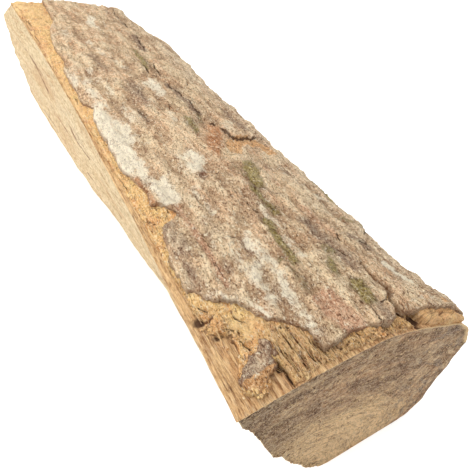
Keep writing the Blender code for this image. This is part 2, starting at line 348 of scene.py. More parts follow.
class Number:
    """A number that varies over a surface. Arithmetic on it adds Math nodes to its finish."""

    def __init__(self, finish, socket):
        self.finish, self.socket = finish, socket

    def math(self, operation, *values):
        return self.finish.node("Math", {"operation": operation}, dict(enumerate(values)))

    def __add__(self, other):
        return self.math("ADD", self, other)

    def __sub__(self, other):
        return self.math("SUBTRACT", self, other)

    def __rsub__(self, other):
        return self.math("SUBTRACT", other, self)

    def __mul__(self, other):
        return self.math("MULTIPLY", self, other)

    def __truediv__(self, other):
        return self.math("DIVIDE", self, other)

    def __abs__(self):
        return self.math("ABSOLUTE", self)

    __radd__ = __add__
    __rmul__ = __mul__

    def band(self, low, high):
        """0 below low, 1 above high, and smooth between; falls instead where high is below low."""
        if high < low:
            return 1 - self.band(high, low)
        return self.finish.node("MapRange", {"interpolation_type": "SMOOTHSTEP"},
                                {"Value": self, "From Min": low, "From Max": high})


class Finish:
    """One material. Its place is the surface's place in millimetres."""

    def __init__(self, name):
        self.material = bpy.data.materials.new(name)
        self.material.use_nodes = True
        self.tree = self.material.node_tree
        self.shader = self.tree.nodes["Principled BSDF"]
        where = self.node("TexCoord", {}, {}, "Object")
        self.place = self.node("VectorMath", {"operation": "SCALE"}, {0: where, "Scale": 1000.0})

    def node(self, kind, settings, values, output=0):
        """Adds a node of any kind: its settings first, then the values or links of its sockets."""
        added = self.tree.nodes.new("ShaderNode" + kind)
        for key, value in settings.items():
            setattr(added, key, value)
        for key, value in values.items():
            if isinstance(value, Number):
                self.tree.links.new(value.socket, added.inputs[key])
            else:
                added.inputs[key].default_value = value
        return Number(self, added.outputs[output])

    def value(self, name):
        """A number kept for each point of the mesh."""
        return self.node("Attribute", {"attribute_name": name}, {}, "Fac")

    def stretched(self, across, along, seed):
        scaled = {0: self.place, 1: (1 / across, 1 / along, 1 / across),
                  2: (seed * 3.7, seed * 1.3, seed * 2.9)}
        return self.node("VectorMath", {"operation": "MULTIPLY_ADD"}, scaled)

    def cloud(self, across, along=None, seed=0, detail=3.0, rise=0.5, bend=0.0):
        """Noise of a given size in millimetres, from 0 to 1."""
        vector = self.stretched(across, along or across, seed)
        return self.node("TexNoise", {}, {"Vector": vector, "Scale": 1.0, "Detail": detail,
                                          "Roughness": rise, "Distortion": bend}, "Fac")

    def mix(self, share, low, high, blend="MIX"):
        """One colour over another. Colours are given as they look, from 0 to 255."""
        values = {0: share}
        for key, colour in ((6, low), (7, high)):
            values[key] = colour if isinstance(colour, Number) else paint(colour)
        return self.node("Mix", {"data_type": "RGBA", "blend_type": blend}, values, 2)

    def coats(self, colour, *coats):
        """Lays colours over a colour, one after another, each where its share says."""
        for share, over in coats:
            colour = self.mix(share, colour, over)
        return colour

    def grain(self, colour, noise, dark, light, reach=0.12, shade=(150, 120, 92)):
        """Darkens a colour where a noise runs low and lightens it where the noise runs high."""
        deep = self.mix(1.0, colour, shade, "MULTIPLY")
        colour = self.mix(noise.band(0.5, 0.5 - reach) * dark, colour, deep)
        return self.mix(noise.band(0.5, 0.5 + reach) * light, colour, (255, 236, 198))

    def specks(self, colour, across, along, seed, dark, light, shade=(122, 88, 62), tint=(255, 242, 212)):
        """Small crisp specks: dark ones in pits, and pale ones where the surface is scuffed."""
        deep = self.mix(1.0, colour, shade, "MULTIPLY")
        pits = self.cloud(across, along, seed, 3, 0.7)
        scuffs = self.cloud(across, along, seed + 1, 3, 0.7)
        colour = self.mix(pits.band(0.56, 0.64) * dark, colour, deep)
        return self.mix(scuffs.band(0.57, 0.65) * light, colour, tint)

    def veins(self, across, along, seed, wide):
        """Thin broken wandering lines, 1 on them and 0 beside them."""
        line = abs(self.cloud(across, along, seed, 6, 0.65, 0.6) - 0.5).band(wide, wide * 0.2)
        return line * self.cloud(across * 1.3, along * 1.3, seed + 1, 3).band(0.48, 0.56)

    def done(self, colour, roughness, height, strength=1.0):
        """Links the finish: its colour, its roughness, and its fine relief in millimetres."""
        bump = self.node("Bump", {}, {"Strength": strength, "Distance": MM, "Height": height}, "Normal")
        for key, value in (("Base Color", colour), ("Roughness", roughness), ("Normal", bump)):
            if isinstance(value, Number):
                self.tree.links.new(value.socket, self.shader.inputs[key])
            else:
                self.shader.inputs[key].default_value = value
        self.shader.inputs["Specular IOR Level"].default_value = 0.25
        return self.material


def paint(colour):
    """A colour as it looks, from 0 to 255, as the light it reflects."""
    shares = [c / 255 for c in colour]
    return tuple(c / 12.92 if c < 0.04045 else ((c + 0.055) / 1.055) ** 2.4 for c in shares) + (1.0,)


def split_wood_finish():
    """Clean split wood: straw, fine lengthwise fibres, tan streaks, and drying cracks darkened by painted
    shade.
    """
    f = Finish("split_wood")
    fibres = f.cloud(0.8, 30, 1, 5, 0.65)
    streaks = f.cloud(4, 70, 2, 4, 0.6)
    tone = f.cloud(20, 90, 3, 3)
    under = f.value("under_bark")
    short = f.cloud(0.9, 7, 16, 6, 0.8)
    grit = f.cloud(1.2, 3.0, 17, 6, 0.88)
    flecks = f.cloud(0.6, 4.5, 5, 3, 0.6).band(0.63, 0.7)
    strong = f.cloud(1.3, 60, 14, 5, 0.7)
    colour = f.mix(streaks.band(0.4, 0.65), (206, 185, 146), (194, 168, 126))
    colour = f.coats(
        colour,
        (tone.band(0.5, 0.75) * 0.35, (200, 168, 126)),
        (tone.band(0.5, 0.3) * 0.4, (206, 192, 162)),
    )
    colour = f.grain(colour, short, 0.5, 0.3)
    colour = f.grain(colour, grit, 0.55, 0.3)
    colour = f.specks(colour, 0.9, 4.0, 59, 0.45, 0.4, (176, 136, 98), (240, 222, 184))
    colour = f.mix(flecks * 0.6, colour, (186, 132, 80))
    golden = f.mix(strong.band(0.4, 0.62), (220, 182, 130), (198, 152, 102))
    golden = f.coats(
        golden,
        (tone.band(0.5, 0.62) * 0.4, (206, 152, 106)),
        (fibres.band(0.54, 0.63) * 0.7, (140, 92, 54)),
        (fibres.band(0.44, 0.34) * 0.5, (242, 208, 156)),
        (f.veins(1.6, 30, 26, 0.03) * 0.7, (112, 70, 40)),
    )
    golden = f.grain(golden, short, 0.6, 0.2)
    golden = f.grain(golden, grit, 0.4, 0.15)
    golden = f.specks(golden, 0.7, 6.0, 57, 0.6, 0.35, (136, 92, 60), (246, 206, 150))
    colour = f.coats(
        colour,
        (under * 0.95, golden),
        # Painted shade where the split face lies low among its fibres and steps
        (f.value("depth").band(0.45, 1.0) * 0.5, (176, 136, 92)),
        (f.veins(5, 60, 18, 0.02) * (1 - under) * 0.6, (164, 112, 66)),
        # Painted shade inside the drying cracks
        (abs(f.value("crack")).band(1.3, 0.3) * 0.85, (112, 74, 44)),
        # Painted shade in the torn hollows
        (f.value("hollow").band(0.1, 0.9) * 0.92, (66, 38, 22)),
    )
    relief = fibres * 0.45 + streaks * 0.3 + strong * under * 0.6 + short * 0.6 + grit * 0.3
    return f.done(colour, fibres * 0.2 + 0.6, relief, 0.9)


def end_grain_finish():
    """A weathered saw cut: grey brown, with growth rings about the pith, torn fibres, pores and stains."""
    f = Finish("end_grain")
    from_pith = (MIDDLE[0] - PITH[0], 0.0, -PITH[1])
    place = f.node("VectorMath", {"operation": "MULTIPLY_ADD"},
                   {0: f.place, 1: (1.0, 0.0, 1.0), 2: from_pith})
    flat = f.node("SeparateXYZ", {}, {0: place}, "X")
    tall = f.node("SeparateXYZ", {}, {0: place}, "Z")
    radius = f.node("VectorMath", {"operation": "LENGTH"}, {0: place}, "Value")
    radius = radius + f.cloud(30, None, 1, 3) * 10
    along = flat.math("ARCTAN2", flat, tall) * 75.0

    def ringed(across, length, detail, rise):
        vector = f.node("CombineXYZ", {}, {0: radius / across, 1: along / length, 2: 0.37 * across})
        look = {"Vector": vector, "Scale": 1.0, "Detail": detail, "Roughness": rise}
        return f.node("TexNoise", {}, look, "Fac")

    bands = ringed(6.0, 42.0, 5, 0.65)
    dashes = ringed(1.3, 3.0, 4, 0.8)
    rings = ringed(2.2, 26.0, 4, 0.65)
    tone = f.cloud(24, None, 3, 3, 0.6)
    blotch = f.cloud(7, None, 21, 5, 0.65, 0.5)
    grit = f.cloud(0.75, None, 22, 3, 0.85)
    lumps = f.cloud(3.0, None, 23, 4, 0.75)
    low = (radius.band(82, 40) * 0.8 + (f.cloud(18, None, 4, 3) - 0.5) * 0.9).band(0.1, 0.7)
    edge = radius.band(93, 106) * f.cloud(9, None, 11, 3).band(0.35, 0.6)
    stain = (ringed(3.0, 16.0, 4, 0.6) * 0.6 + f.cloud(6, None, 28, 4, 0.6) * 0.4).band(0.5, 0.56)
    scraped = (bands * 0.5 + blotch * 0.5).band(0.5, 0.43)
    groups = (ringed(2.6, 9.0, 4, 0.7) * 0.7 + blotch * 0.3).band(0.46, 0.56)
    pores = f.cloud(0.8, None, 5, 3, 0.7).band(0.56, 0.64)
    colour = f.mix((bands * 0.6 + tone * 0.4).band(0.42, 0.58), (142, 106, 74), (192, 149, 108))
    colour = f.coats(
        colour,
        (blotch.band(0.48, 0.58) * 0.75, (124, 86, 60)),
        (blotch.band(0.46, 0.38) * 0.6, (220, 186, 142)),
        (lumps.band(0.5, 0.58) * 0.5, (124, 86, 60)),
        (low * 0.85, (248, 210, 156)),
        (flat.band(12, -24) * 0.4, (112, 92, 68)),
        (edge * 0.5, (118, 104, 78)),
        (rings.band(0.5, 0.62) * 0.5, (122, 86, 62)),
        (rings.band(0.46, 0.36) * 0.4, (206, 178, 138)),
        (dashes.band(0.53, 0.58) * 0.5, (106, 72, 48)),
        (stain * flat.band(34, 60) * 0.7, (122, 104, 94)),
        (scraped * flat.band(34, 60) * 0.55, (224, 192, 152)),
    )
    colour = f.grain(colour, dashes, 0.4, 0.25)
    colour = f.grain(colour, grit, groups * 0.6 + 0.2, 0.25, 0.1)
    colour = f.specks(colour, 1.2, 1.2, 55, groups * 0.8 + 0.2, 0.5, (112, 76, 50), (238, 206, 150))
    colour = f.specks(colour, 0.8, 0.8, 61, groups * 0.6 + 0.2, 0.4, (122, 84, 56), (238, 206, 150))
    colour = f.coats(
        colour,
        (pores * groups * 0.75, (96, 62, 40)),
        (f.veins(2.4, 2.4, 27, 0.02) * 0.5, (98, 68, 44)),
        (f.value("rim").band(1.0, 0.4) * 0.8, (226, 196, 148)),
    )
    relief = dashes * 0.8 + grit * 0.8 + lumps * 0.6 + rings * 0.4 - pores * 0.4
    return f.done(colour, 0.85, relief, 1.0)


# Torn hollows of the bared golden strip, as (s, y, half width, half length, depth)
DEEPEST_HOLLOW = 2.6
# Each hollow is carved and also painted dark: painted shade in the hollow
HOLLOWS = (
    (17.9, 8.2, 1.4, 1.7, 2.2), (18.9, 4, 0.8, 4.5, 1.1), (72.3, 4.2, 2.8, 3.8, 2.6), (27, 11, 1.6, 4.5, 2),
    (3, 36.5, 2, 2.4, 1), (6, 28, 3, 1.6, 0.8),
)
# Drying cracks of the left split face, each as its half width and the places z, y, z, y, ... along it
# Each crack is carved a little and painted dark: painted shade inside the crack
FACE_CRACKS = (
    (1.5, 84, 352, 80, 338, 77, 326, 72, 317, 67, 308, 64, 300), (0.9, 79, 331, 76, 318, 75, 306),
    (0.9, 65, 241, 64, 221, 67, 195), (0.5, 70, 228, 70, 205), (0.6, 52, 300, 50, 262),
    (0.5, 45, 215, 47, 190), (0.7, 35, 330, 34, 300), (0.45, 72, 150, 74, 120), (0.4, 60, 120, 58, 92),
    (0.45, 84, 82, 86, 55), (0.45, 90, 60, 91, 10), (0.45, 40, 90, 42, 60),
)


def wood_ring(y):
    """Rings of points (x, z) round the wood at each y, how far across the bark side its first points are,
    and how many these are."""
    width = bark_width(y)[:, None]
    first = np.linspace(0, FINE_LEFT, 47)[None, :] + 0 * width
    middle = FINE_LEFT + (width - (FINE_LEFT + FINE_RIGHT)) * np.linspace(0, 1, 35)[None, 1:]
    last = width - FINE_RIGHT + FINE_RIGHT * np.linspace(0, 1, 12)[None, 1:]
    s = np.concatenate([first, middle, last], 1)
    arch = over_wood(s, y[:, None], 0.0)[..., [0, 2]]
    sides = []
    for start, end, parts in zip(SPLIT_FACES, SPLIT_FACES[1:], SPLIT_COLUMNS):
        a, b = curve(start, STATIONS, y)[:, None], curve(end, STATIONS, y)[:, None]
        t = (np.arange(parts) / parts)[None, :, None]
        sides.append(a + (b - a) * t)
    ring = np.concatenate([arch] + [sides[0][:, 1:]] + sides[1:], 1)
    bare = arch.shape[1]
    for _ in range(EASINGS):
        eased = (np.roll(ring, 1, 1) + np.roll(ring, -1, 1) + 2 * ring) / 4
        ring[:, bare:-3] = eased[:, bare:-3]
    return ring, s, bare


def make_wood():
    """The billet: its long sides with fibres, steps and cracks, closed by the two saw cuts."""
    y = graded((24, 0.6), (100, 1.1), (LENGTH - 12, 1.95), (LENGTH, 1.2))
    ring, s, bare = wood_ring(y)
    count = ring.shape[1]
    step = np.roll(ring, -1, 1) - np.roll(ring, 1, 1)
    out = np.stack([-step[..., 1], step[..., 0]], -1)
    out /= np.linalg.norm(out, axis=-1)[..., None]
    x, z = ring[..., 0], ring[..., 1]
    rows = y[:, None] + 0 * x
    split = np.zeros(ring.shape[:2])
    split[:, bare:] = 1.0
    # Long fibres and shallow steps where the wood tore along its grain
    fibres = 0.4 * rough(x / 1.8, rows / 26, z / 1.8, 1, 3)
    steps = noise(x / 8, rows / 120, z / 8, 4) * 3.0
    terraces = 0.5 * (np.floor(steps) + smooth(0.7, 1.0, steps - np.floor(steps)))
    broad = 0.8 * rough(x / 16, rows / 60, z / 16, 7, 2)
    lumpy = fibres + 0.8 * terraces + broad
    carve = split * (lumpy + 0.15)
    left = split * (out[..., 0] < -0.3)
    crack = np.where(left > 0, crack_distance(z, rows, FACE_CRACKS, 31), NO_CRACK)
    carve = carve - np.interp(rows, (60, 200), (1.0, 0.15)) * np.exp(-(crack / 1.3) ** 2)
    place_s = np.zeros(ring.shape[:2])
    place_s[:, :bare] = s
    under = 1 - split
    arch_relief = 0.22 * rough(place_s / 1.9, rows / 26, 0, 9, 3)
    arch_relief += 0.7 * creases(place_s, rows, 1.4, 40, 17) - 0.2
    # The hollows are carved, and the finish also darkens them with painted shade
    hollow = np.zeros_like(split)
    hollow[:, :bare] = blot(place_s, rows, HOLLOWS)[:, :bare]
    carve = carve + under * (arch_relief - np.minimum(hollow, DEEPEST_HOLLOW))
    # Torn and chipped rims of the two saw cuts
    ends = np.minimum(rows, LENGTH - rows)
    chips = np.clip(rough(x / 14, rows / 30, z / 14, 13, 2) + 0.05, 0, 1) * smooth(4.0, 0.0, ends)
    chips = chips * np.where(rows > 300, 0.4, 1.0)
    chips += 0.3 * np.clip(noise(x / 2.5, 0, z / 2.5, 15), 0, 1) * smooth(1.6, 0.0, ends)
    carve = carve - split * chips * 1.4
    moved = ring + out * carve[..., None]
    moved[..., 1] = np.maximum(moved[..., 1], 0.0)
    corner = smooth(62, 92, z) * smooth(16, 3, x) * smooth(4.0, 0.5, place_s) * smooth(190, 120, rows)
    moved[..., 0] -= 1.5 * corner
    flat_base = ring[..., 1] <= 0.3
    moved[..., 1] = np.where(flat_base & (split > 0), np.clip(moved[..., 1], 0, 0.35) * 0.5, moved[..., 1])
    body = np.stack([moved[..., 0], rows, moved[..., 1]], -1)
    # How low a place lies among the fibres and steps, which the finish paints as shade
    depth = np.clip(0.35 - lumpy / 2.2, 0, 1) * split

    points = [body.reshape(-1, 3)]
    grid = np.arange(len(y) * count).reshape(len(y), count)
    ahead = np.roll(grid, -1, 1)
    quads = np.stack([grid[:-1], ahead[:-1], ahead[1:], grid[1:]], -1).reshape(-1, 4)
    faces = quads.tolist()
    picks = [0] * len(quads)
    rim_far = np.full(under.shape, FAR_IN)
    rim_far[0, :bare] = 0.0
    shades = {
        "under_bark": [under.ravel()],
        "hollow": [np.clip(hollow, 0, 1).ravel()],
        "depth": [depth.ravel()],
        "rim": [rim_far.ravel()],
        "crack": [crack.ravel()],
    }

    start = len(points[0])
    for end, row in ((0, 0), (1, len(y) - 1)):
        rim = body[row]
        centre = np.array([CUT_MIDDLE[0], rim[0, 1], CUT_MIDDLE[1]])
        shares = np.concatenate([1 - np.array([0.35, 1.0, 2.2]) / CUT_RADIUS, np.linspace(0.92, 0.04, 22)])
        loops = centre + (rim - centre) * shares[:, None, None]
        cx, cz = loops[..., 0], loops[..., 2]
        inward = 1.0 if end == 0 else -1.0
        saw = 0.22 * noise(cx / 40, cz / 1.6, 0, 21) + 0.35 * rough(cx / 7, cz / 7, 3, 22, 3)
        saw += 0.5 * noise(cx / 30, cz / 30, 5, 25)
        inside = (1 - shares[:, None]) * CUT_RADIUS
        loops[..., 1] += inward * np.clip(0.5 + saw, 0.0, 2.0) * smooth(0, 1.2, inside)
        chip = np.exp(-(((cx - 37) / 3.0) ** 2 + ((cz - 11) / 1.6) ** 2))
        loops[..., 1] += inward * chip * 1.6
        near_arch = np.full(loops.shape[:2], FAR_IN)
        near_arch[:, :bare] = inside
        points.append(loops.reshape(-1, 3))
        tip = centre + np.array([0, inward * 0.5, 0])
        points.append(tip[None])
        total = loops.shape[0] * count + 1
        for name in ("under_bark", "hollow", "depth"):
            shades[name].append(np.zeros(total))
        shades["rim"] += [near_arch.ravel(), [FAR_IN]]
        shades["crack"].append(np.full(total, NO_CRACK))
        index = np.concatenate([grid[row][None], start + np.arange(total - 1).reshape(-1, count)])
        beside = np.roll(index, -1, 1)
        fill = np.stack([index[:-1], index[1:], beside[1:], beside[:-1]], -1).reshape(-1, 4)
        fan = np.stack([index[-1], np.full(count, start + total - 1), beside[-1]], -1)
        if end:
            fill, fan = fill[:, ::-1], fan[:, ::-1]
        faces += fill.tolist() + fan.tolist()
        picks += [1] * (len(fill) + len(fan))
        start += total
    values = {name: np.concatenate(parts) for name, parts in shades.items()}
    piece = closed_piece("split_billet", np.concatenate(points), faces, values,
                         [split_wood_finish(), end_grain_finish()], picks)
    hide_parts("wood")


make_wood()

# Inner bark
# The tan, fibrous bast next to the wood. It is torn back at the left corner and the near end, where it
# crumbles and splinters, and it has rolled up under the side plate.
# The outline of the bast in parts, as (s, y), and its thickness
INNER_LEFT = (
    (0.8, 400), (0.8, 300), (0.8, 200), (0.8, 110), (1.2, 72), (2, 53), (1.5, 40), (4, 35), (3, 30),
    (7, 27), (9, 24), (8.5, 18), (4.5, 12), (3.5, 8), (5, 4.5), (8, 2.6), (11, 2.4),
)
INNER_NEAR = (
    (12.8, 4.5), (13.6, 8.8), (17.6, 9.6), (18.6, 5), (19, 0.9), (24, 0.6), (28, 2.0), (33, 2.4), (36, 1.6),
    (45, 1.4), (53, 1.0), (62, 0.8), (69, 1.0), (69.4, 6.8), (73.8, 7), (75.8, 2.6), (76.4, 0.8), (92, 0.3),
    (104, 0.8), (113, 3), (121, 7), (128, 13),
)
INNER_RIGHT = ((130, 30), (127, 60), (123, 100), (122, 150), (123, 200), (121, 250), (122, 300),
               (117, 350), (111, 400))
INNER_OUTLINE = INNER_LEFT + INNER_NEAR + INNER_RIGHT
INNER_BARK = 2.4
# How unevenly the points of a sheet are spread, and how its edge is brought onto its outline
JITTER = 0.22
EDGE_PULLS = 3
PROBE = 0.05
# What counts as far in from the edge where a sheet runs on into the next piece
JOINED_DEPTH = 6
# Where it is torn to long cords, as (s, y, half width, half length, strength)
FIBRE_BANDS = ((25.5, 7, 7, 13, 1.2), (35, 2, 6.5, 5.5, 1.1), (47, 1.5, 6, 3, 0.8), (58, 1, 9, 3, 0.8),
               (22, 17, 2.5, 6, 0.9))
# Each groove and crack of the bast is its half width and the places s, y, s, y, ... along it
# Grooves and cracks are carved, and the bast's finish paints shade inside them
GROOVES = (
    (0.9, 26.3, 15.5, 27, 11, 28.5, 5, 30, 1), (0.4, 20.2, 15, 21, 9, 22, 4),
    (0.45, 23.2, 19, 23.8, 11, 25, 4), (0.8, 30.8, 10, 33, 3),
)
BAST_CRACKS = (
    (0.3, 78, 3.2, 84, 2.6, 90, 3.4), (0.25, 93, 2.4, 99, 3), (0.3, 77, 1.2, 80, 5),
    (0.5, 1, 362, 1.5, 345, 1.5, 333, 4, 328), (0.4, 3, 352, 4.5, 340), (0.35, 1.8, 318, 2.5, 302),
    (0.4, 14, 352, 17, 341), (0.5, 0.2, 306, 0.2, 270, 0.6, 244), (0.4, 3, 390, 4, 376),
    (0.2, 3.4, 212, 3, 204), (0.2, 1.4, 180, 1.6, 160), (0.2, 1.6, 128, 2.4, 116), (0.2, 13, 92, 10, 87.5),
    (0.7, 1.5, 37, 5, 34, 7, 35), (0.7, 3, 29.5, 6, 27, 9, 24.5, 8.6, 19), (0.35, 9, 28, 12, 24),
    (0.3, 4, 41, 6, 38), (0.25, 13, 31, 15, 27), (0.3, 11, 21, 12, 17), (0.4, 41, 4, 44, 3),
    (0.35, 52, 3, 55, 1.5), (0.25, 7, 97, 9.6, 95), (0.25, 3, 92, 5, 88), (0.5, 36, 5, 38, 3.4, 41, 3.8),
    (0.45, 45.5, 5, 47, 2.6, 50, 3), (0.4, 55, 4, 57, 2), (0.5, 60, 4, 62, 2, 64, 2.4),
    (0.9, 65.5, 14, 66.5, 9, 68, 5), (0.5, 33.5, 8, 34.5, 4, 35, 1.5), (0.45, 5, 10, 7, 6, 11, 5),
    (0.3, 9, 12, 12, 9), (0.25, 24.5, 19, 27, 18),
)


def torn_sheet(name, lines_s, lines_y, inside, top, bottom, values, material, wall=0.35, joined=None):
    """A sheet of bark over the wood: a fine upper side, a torn wall round it, and a plain underside.
    inside, top, bottom and each of the values take the places s and y as arrays; joined says where the
    edge runs on into the next piece."""
    s, y = np.meshgrid(lines_s, lines_y)
    cell_s = np.gradient(lines_s)[None, :] + 0 * s
    cell_y = np.gradient(lines_y)[:, None] + 0 * s
    s = s + JITTER * cell_s * noise(s / 1.3, y / 1.3, 4, 51)
    y = y + np.where((y < 0.3) | (y > LENGTH - 0.3), 0, JITTER) * cell_y * noise(s / 1.3, y / 1.3, 9, 52)
    near = inside(s, y)
    kept = near > 0
    spread = kept.copy()
    for shift in np.ndindex(3, 3):
        spread |= np.roll(kept, (shift[0] - 1, shift[1] - 1), (0, 1))
    touch = spread & ~kept
    for _ in range(EDGE_PULLS):
        gs = (inside(s[touch] + PROBE, y[touch]) - inside(s[touch] - PROBE, y[touch])) / (2 * PROBE)
        gy = (inside(s[touch], y[touch] + PROBE) - inside(s[touch], y[touch] - PROBE)) / (2 * PROBE)
        d = inside(s[touch], y[touch])
        size = np.maximum(gs * gs + gy * gy, 0.3)
        limit = 0.6 * np.maximum(cell_s, cell_y)[touch]
        s[touch] -= np.clip(d * gs / size, -limit, limit)
        y[touch] -= np.clip(d * gy / size, -limit, limit)
    y = np.clip(y, 0.0, LENGTH)
    whole = kept[:-1, :-1] | kept[1:, :-1] | kept[:-1, 1:] | kept[1:, 1:]
    number = np.full(s.shape, -1)
    grid = np.arange(s.size).reshape(s.shape)
    quads = np.stack([grid[:-1, :-1], grid[:-1, 1:], grid[1:, 1:], grid[1:, :-1]], -1)[whole]
    used = np.unique(quads)
    number.ravel()[used] = np.arange(len(used))
    quads = number.ravel()[quads]
    flat_s, flat_y = s.ravel()[used], y.ravel()[used]
    deep = np.maximum(inside(flat_s, flat_y), 0.0)
    if joined:
        deep = deep + JOINED_DEPTH * joined(flat_s, flat_y)
    high = top(flat_s, flat_y, deep)
    low_at = bottom(flat_s, flat_y)
    high = np.maximum(high, low_at + 0.15)
    upper = over_wood(flat_s, flat_y, high)

    edges = np.concatenate([quads[:, [k, (k + 1) % 4]] for k in range(4)])
    codes = edges[:, 0] * len(used) + edges[:, 1]
    back = edges[:, 1] * len(used) + edges[:, 0]
    rim = edges[~np.isin(back, codes)]
    rim_points = np.unique(rim)
    where = np.full(len(used), -1)
    where[rim_points] = np.arange(len(rim_points))
    rs, ry = flat_s[rim_points], flat_y[rim_points]
    rh, rl = high[rim_points], low_at[rim_points]
    sway = wall * noise(rs / 1.7, ry / 1.7, 2, 61)
    middle = over_wood(rs + sway, np.clip(ry + sway, 0, LENGTH), rl + (rh - rl) * 0.5)
    lower = over_wood(rs, ry, rl)
    a, b = len(upper), len(upper) + len(rim_points)
    walls = [(p[1], p[0], a + where[p[0]], a + where[p[1]]) for p in rim.tolist()]
    walls += [(a + where[p[1]], a + where[p[0]], b + where[p[0]], b + where[p[1]]) for p in rim.tolist()]

    spots = np.array([(i, j) for j in np.arange(4, LENGTH, 8) for i in np.arange(2, 136, 6)])
    spots = spots[inside(spots[:, 0], spots[:, 1]) > 2.5]
    flat = [Vector(p) for p in np.concatenate([np.stack([rs, ry], 1), spots])]
    links = [(int(where[p]), int(where[q])) for p, q in rim]
    filled = delaunay_2d_cdt(flat, links, [], 2, 1e-7)
    c = b + len(rim_points)
    belly = over_wood(spots[:, 0], spots[:, 1], bottom(spots[:, 0], spots[:, 1]))
    origins = [sources[0] if sources else 0 for sources in filled[3]]
    laid = np.array([p[:] for p in filled[0]])
    middles = np.array([laid[face].mean(0) for face in filled[2]])
    kept_faces = inside(middles[:, 0], middles[:, 1]) > -0.4
    under = []
    for face, held in zip(filled[2], kept_faces):
        corners = [b + origins[k] for k in face]
        if held and len(set(corners)) == 3:
            under.append(corners[::-1])
    points = np.concatenate([upper, middle, lower, belly])
    faces = quads.tolist() + walls + under
    all_s = np.concatenate([flat_s, rs, rs, spots[:, 0]])
    all_y = np.concatenate([flat_y, ry, ry, spots[:, 1]])
    all_deep = np.concatenate([deep, 0 * rs, 0 * rs, 0 * spots[:, 0]])
    if joined:
        all_deep = all_deep + JOINED_DEPTH * joined(all_s, all_y)
    layers = {key: value(all_s, all_y, all_deep) for key, value in values.items()}
    # edge: how far in from the torn edge; the finishes paint shade with it near the edge and on the wall
    layers["edge"] = all_deep
    return closed_piece(name, points, faces, layers, [material])


def ragged(s, y, outline, wide, fine, seed):
    """The distance in from an outline torn by noise, except along the far saw cut."""
    fade = smooth(LENGTH - 1, LENGTH - 12, y)
    torn = wide * rough(s / 6, y / 8, 0, seed, 2) + fine * rough(s / 1.6, y / 2.2, 0, seed + 3, 2)
    return inside_of(s, y, outline) + torn * fade


def inner_inside(s, y):
    calm = 0.35 + 0.65 * smooth(130, 60, y)
    return ragged(s, y, INNER_OUTLINE, 0.7 * calm, 0.55 * calm, 71)


def roll_rise(s, y):
    """The rolled bast at the near right corner, round at its near side."""
    across = smooth(72.5, 76, s) * smooth(108, 98, s)
    y = np.clip(y + 0.6 * noise(s / 5, 0, 0, 95), 0, 40)
    round_over = np.where(y < 2.6, np.sqrt(np.clip(1 - ((2.6 - y) / 2.6) ** 2, 0, 1)), smooth(20, 5, y))
    uneven = 0.85 + 0.6 * rough(s / 5, y / 7, 0, 102, 3)
    return (2.1 - 0.03 * (s - 76)) * across * round_over * uneven


def inner_thickness(s):
    return INNER_BARK * (0.25 + 0.75 * smooth(0, 9, s))


def bast_relief(s, y):
    """The torn surface of the bast over its even thickness: cords in the fibre bands, crumbs elsewhere."""
    fibre = blot(s, y, FIBRE_BANDS).clip(0, 1)
    loose = smooth(110, 50, y) + smooth(300, 345, y) * smooth(24, 14, s)
    drift = s + 0.8 * noise(s / 8, y / 11, 0, 88) + 0.25 * noise(s / 2, y / 5, 0, 89)
    cords = creases(drift, y, 1.5, 24, 90) + creases(drift, y, 0.8, 16, 92)
    cords = cords + 0.35 * noise(s / 1.1, y / 2.4, 0, 96)
    layers = rough(s / 2.6, y / 9, 0, 94, 3) * 1.6
    cords = cords + 0.5 * (np.floor(layers) + smooth(0.8, 1.0, layers - np.floor(layers))) - 0.5
    cords = cords - 0.9 * smooth(8, 0, y)
    crumbs = 0.9 * creases(s, y, 2.6, 3.4, 81) + 0.7 * creases(s, y, 1.2, 1.6, 82)
    crumbs = crumbs + 0.4 * creases(s, y, 0.7, 0.9, 83)
    crumbs = crumbs + 0.6 * rough(s / 6, y / 8, 0, 84, 2) - 0.45
    strips = np.abs(rough(s / 1.6, y / 14, 0, 93, 3, 0.6)) * 0.8 + 0.4 * creases(s, y, 1.0, 2.2, 86) - 0.3
    loose = np.clip(loose, 0, 1) * (1 - fibre)
    relief = loose * crumbs + fibre * cords + (1 - np.maximum(loose, fibre)) * strips
    groove = np.abs(crack_distance(s, y, GROOVES, 97))
    crack = np.abs(crack_distance(s, y, BAST_CRACKS, 99))
    relief = relief - 1.8 * np.exp(-(groove / 1.2) ** 2) - 1.2 * np.exp(-(crack / 1.2) ** 2)
    relief = relief + 1.3 * blot(s, y, ((8.5, 6, 4.5, 4, 1.0),)).clip(0, 1)
    lumps = noise(s / 3.4, y / 2.4, 0, 107) * smooth(7, 3, y) * smooth(32, 37, s) * smooth(67, 63, s)
    return relief + 0.9 * lumps - 1.4 * blot(s, y, ((67, 3, 4, 4, 1.0), (66.5, 10, 3, 6, 1.0))).clip(0, 1)


def inner_top(s, y, deep):
    flank = 1 - 0.45 * np.exp(-deep / 0.6)
    roll = roll_rise(s, y)
    wrinkles = 0.9 * creases(s, y, 4, 0.9, 98) - 0.7 * creases(s, y, 1.8, 1.4, 103)
    wrinkles = wrinkles * smooth(0.2, 1, roll)
    return inner_thickness(s) * flank + bast_relief(s, y) * (1 - 0.4 * smooth(0, 2, roll)) + roll + wrinkles


def inner_bottom(s, y):
    """The bast is grown on: its underside lies just within the wood."""
    return 0 * s - 0.6


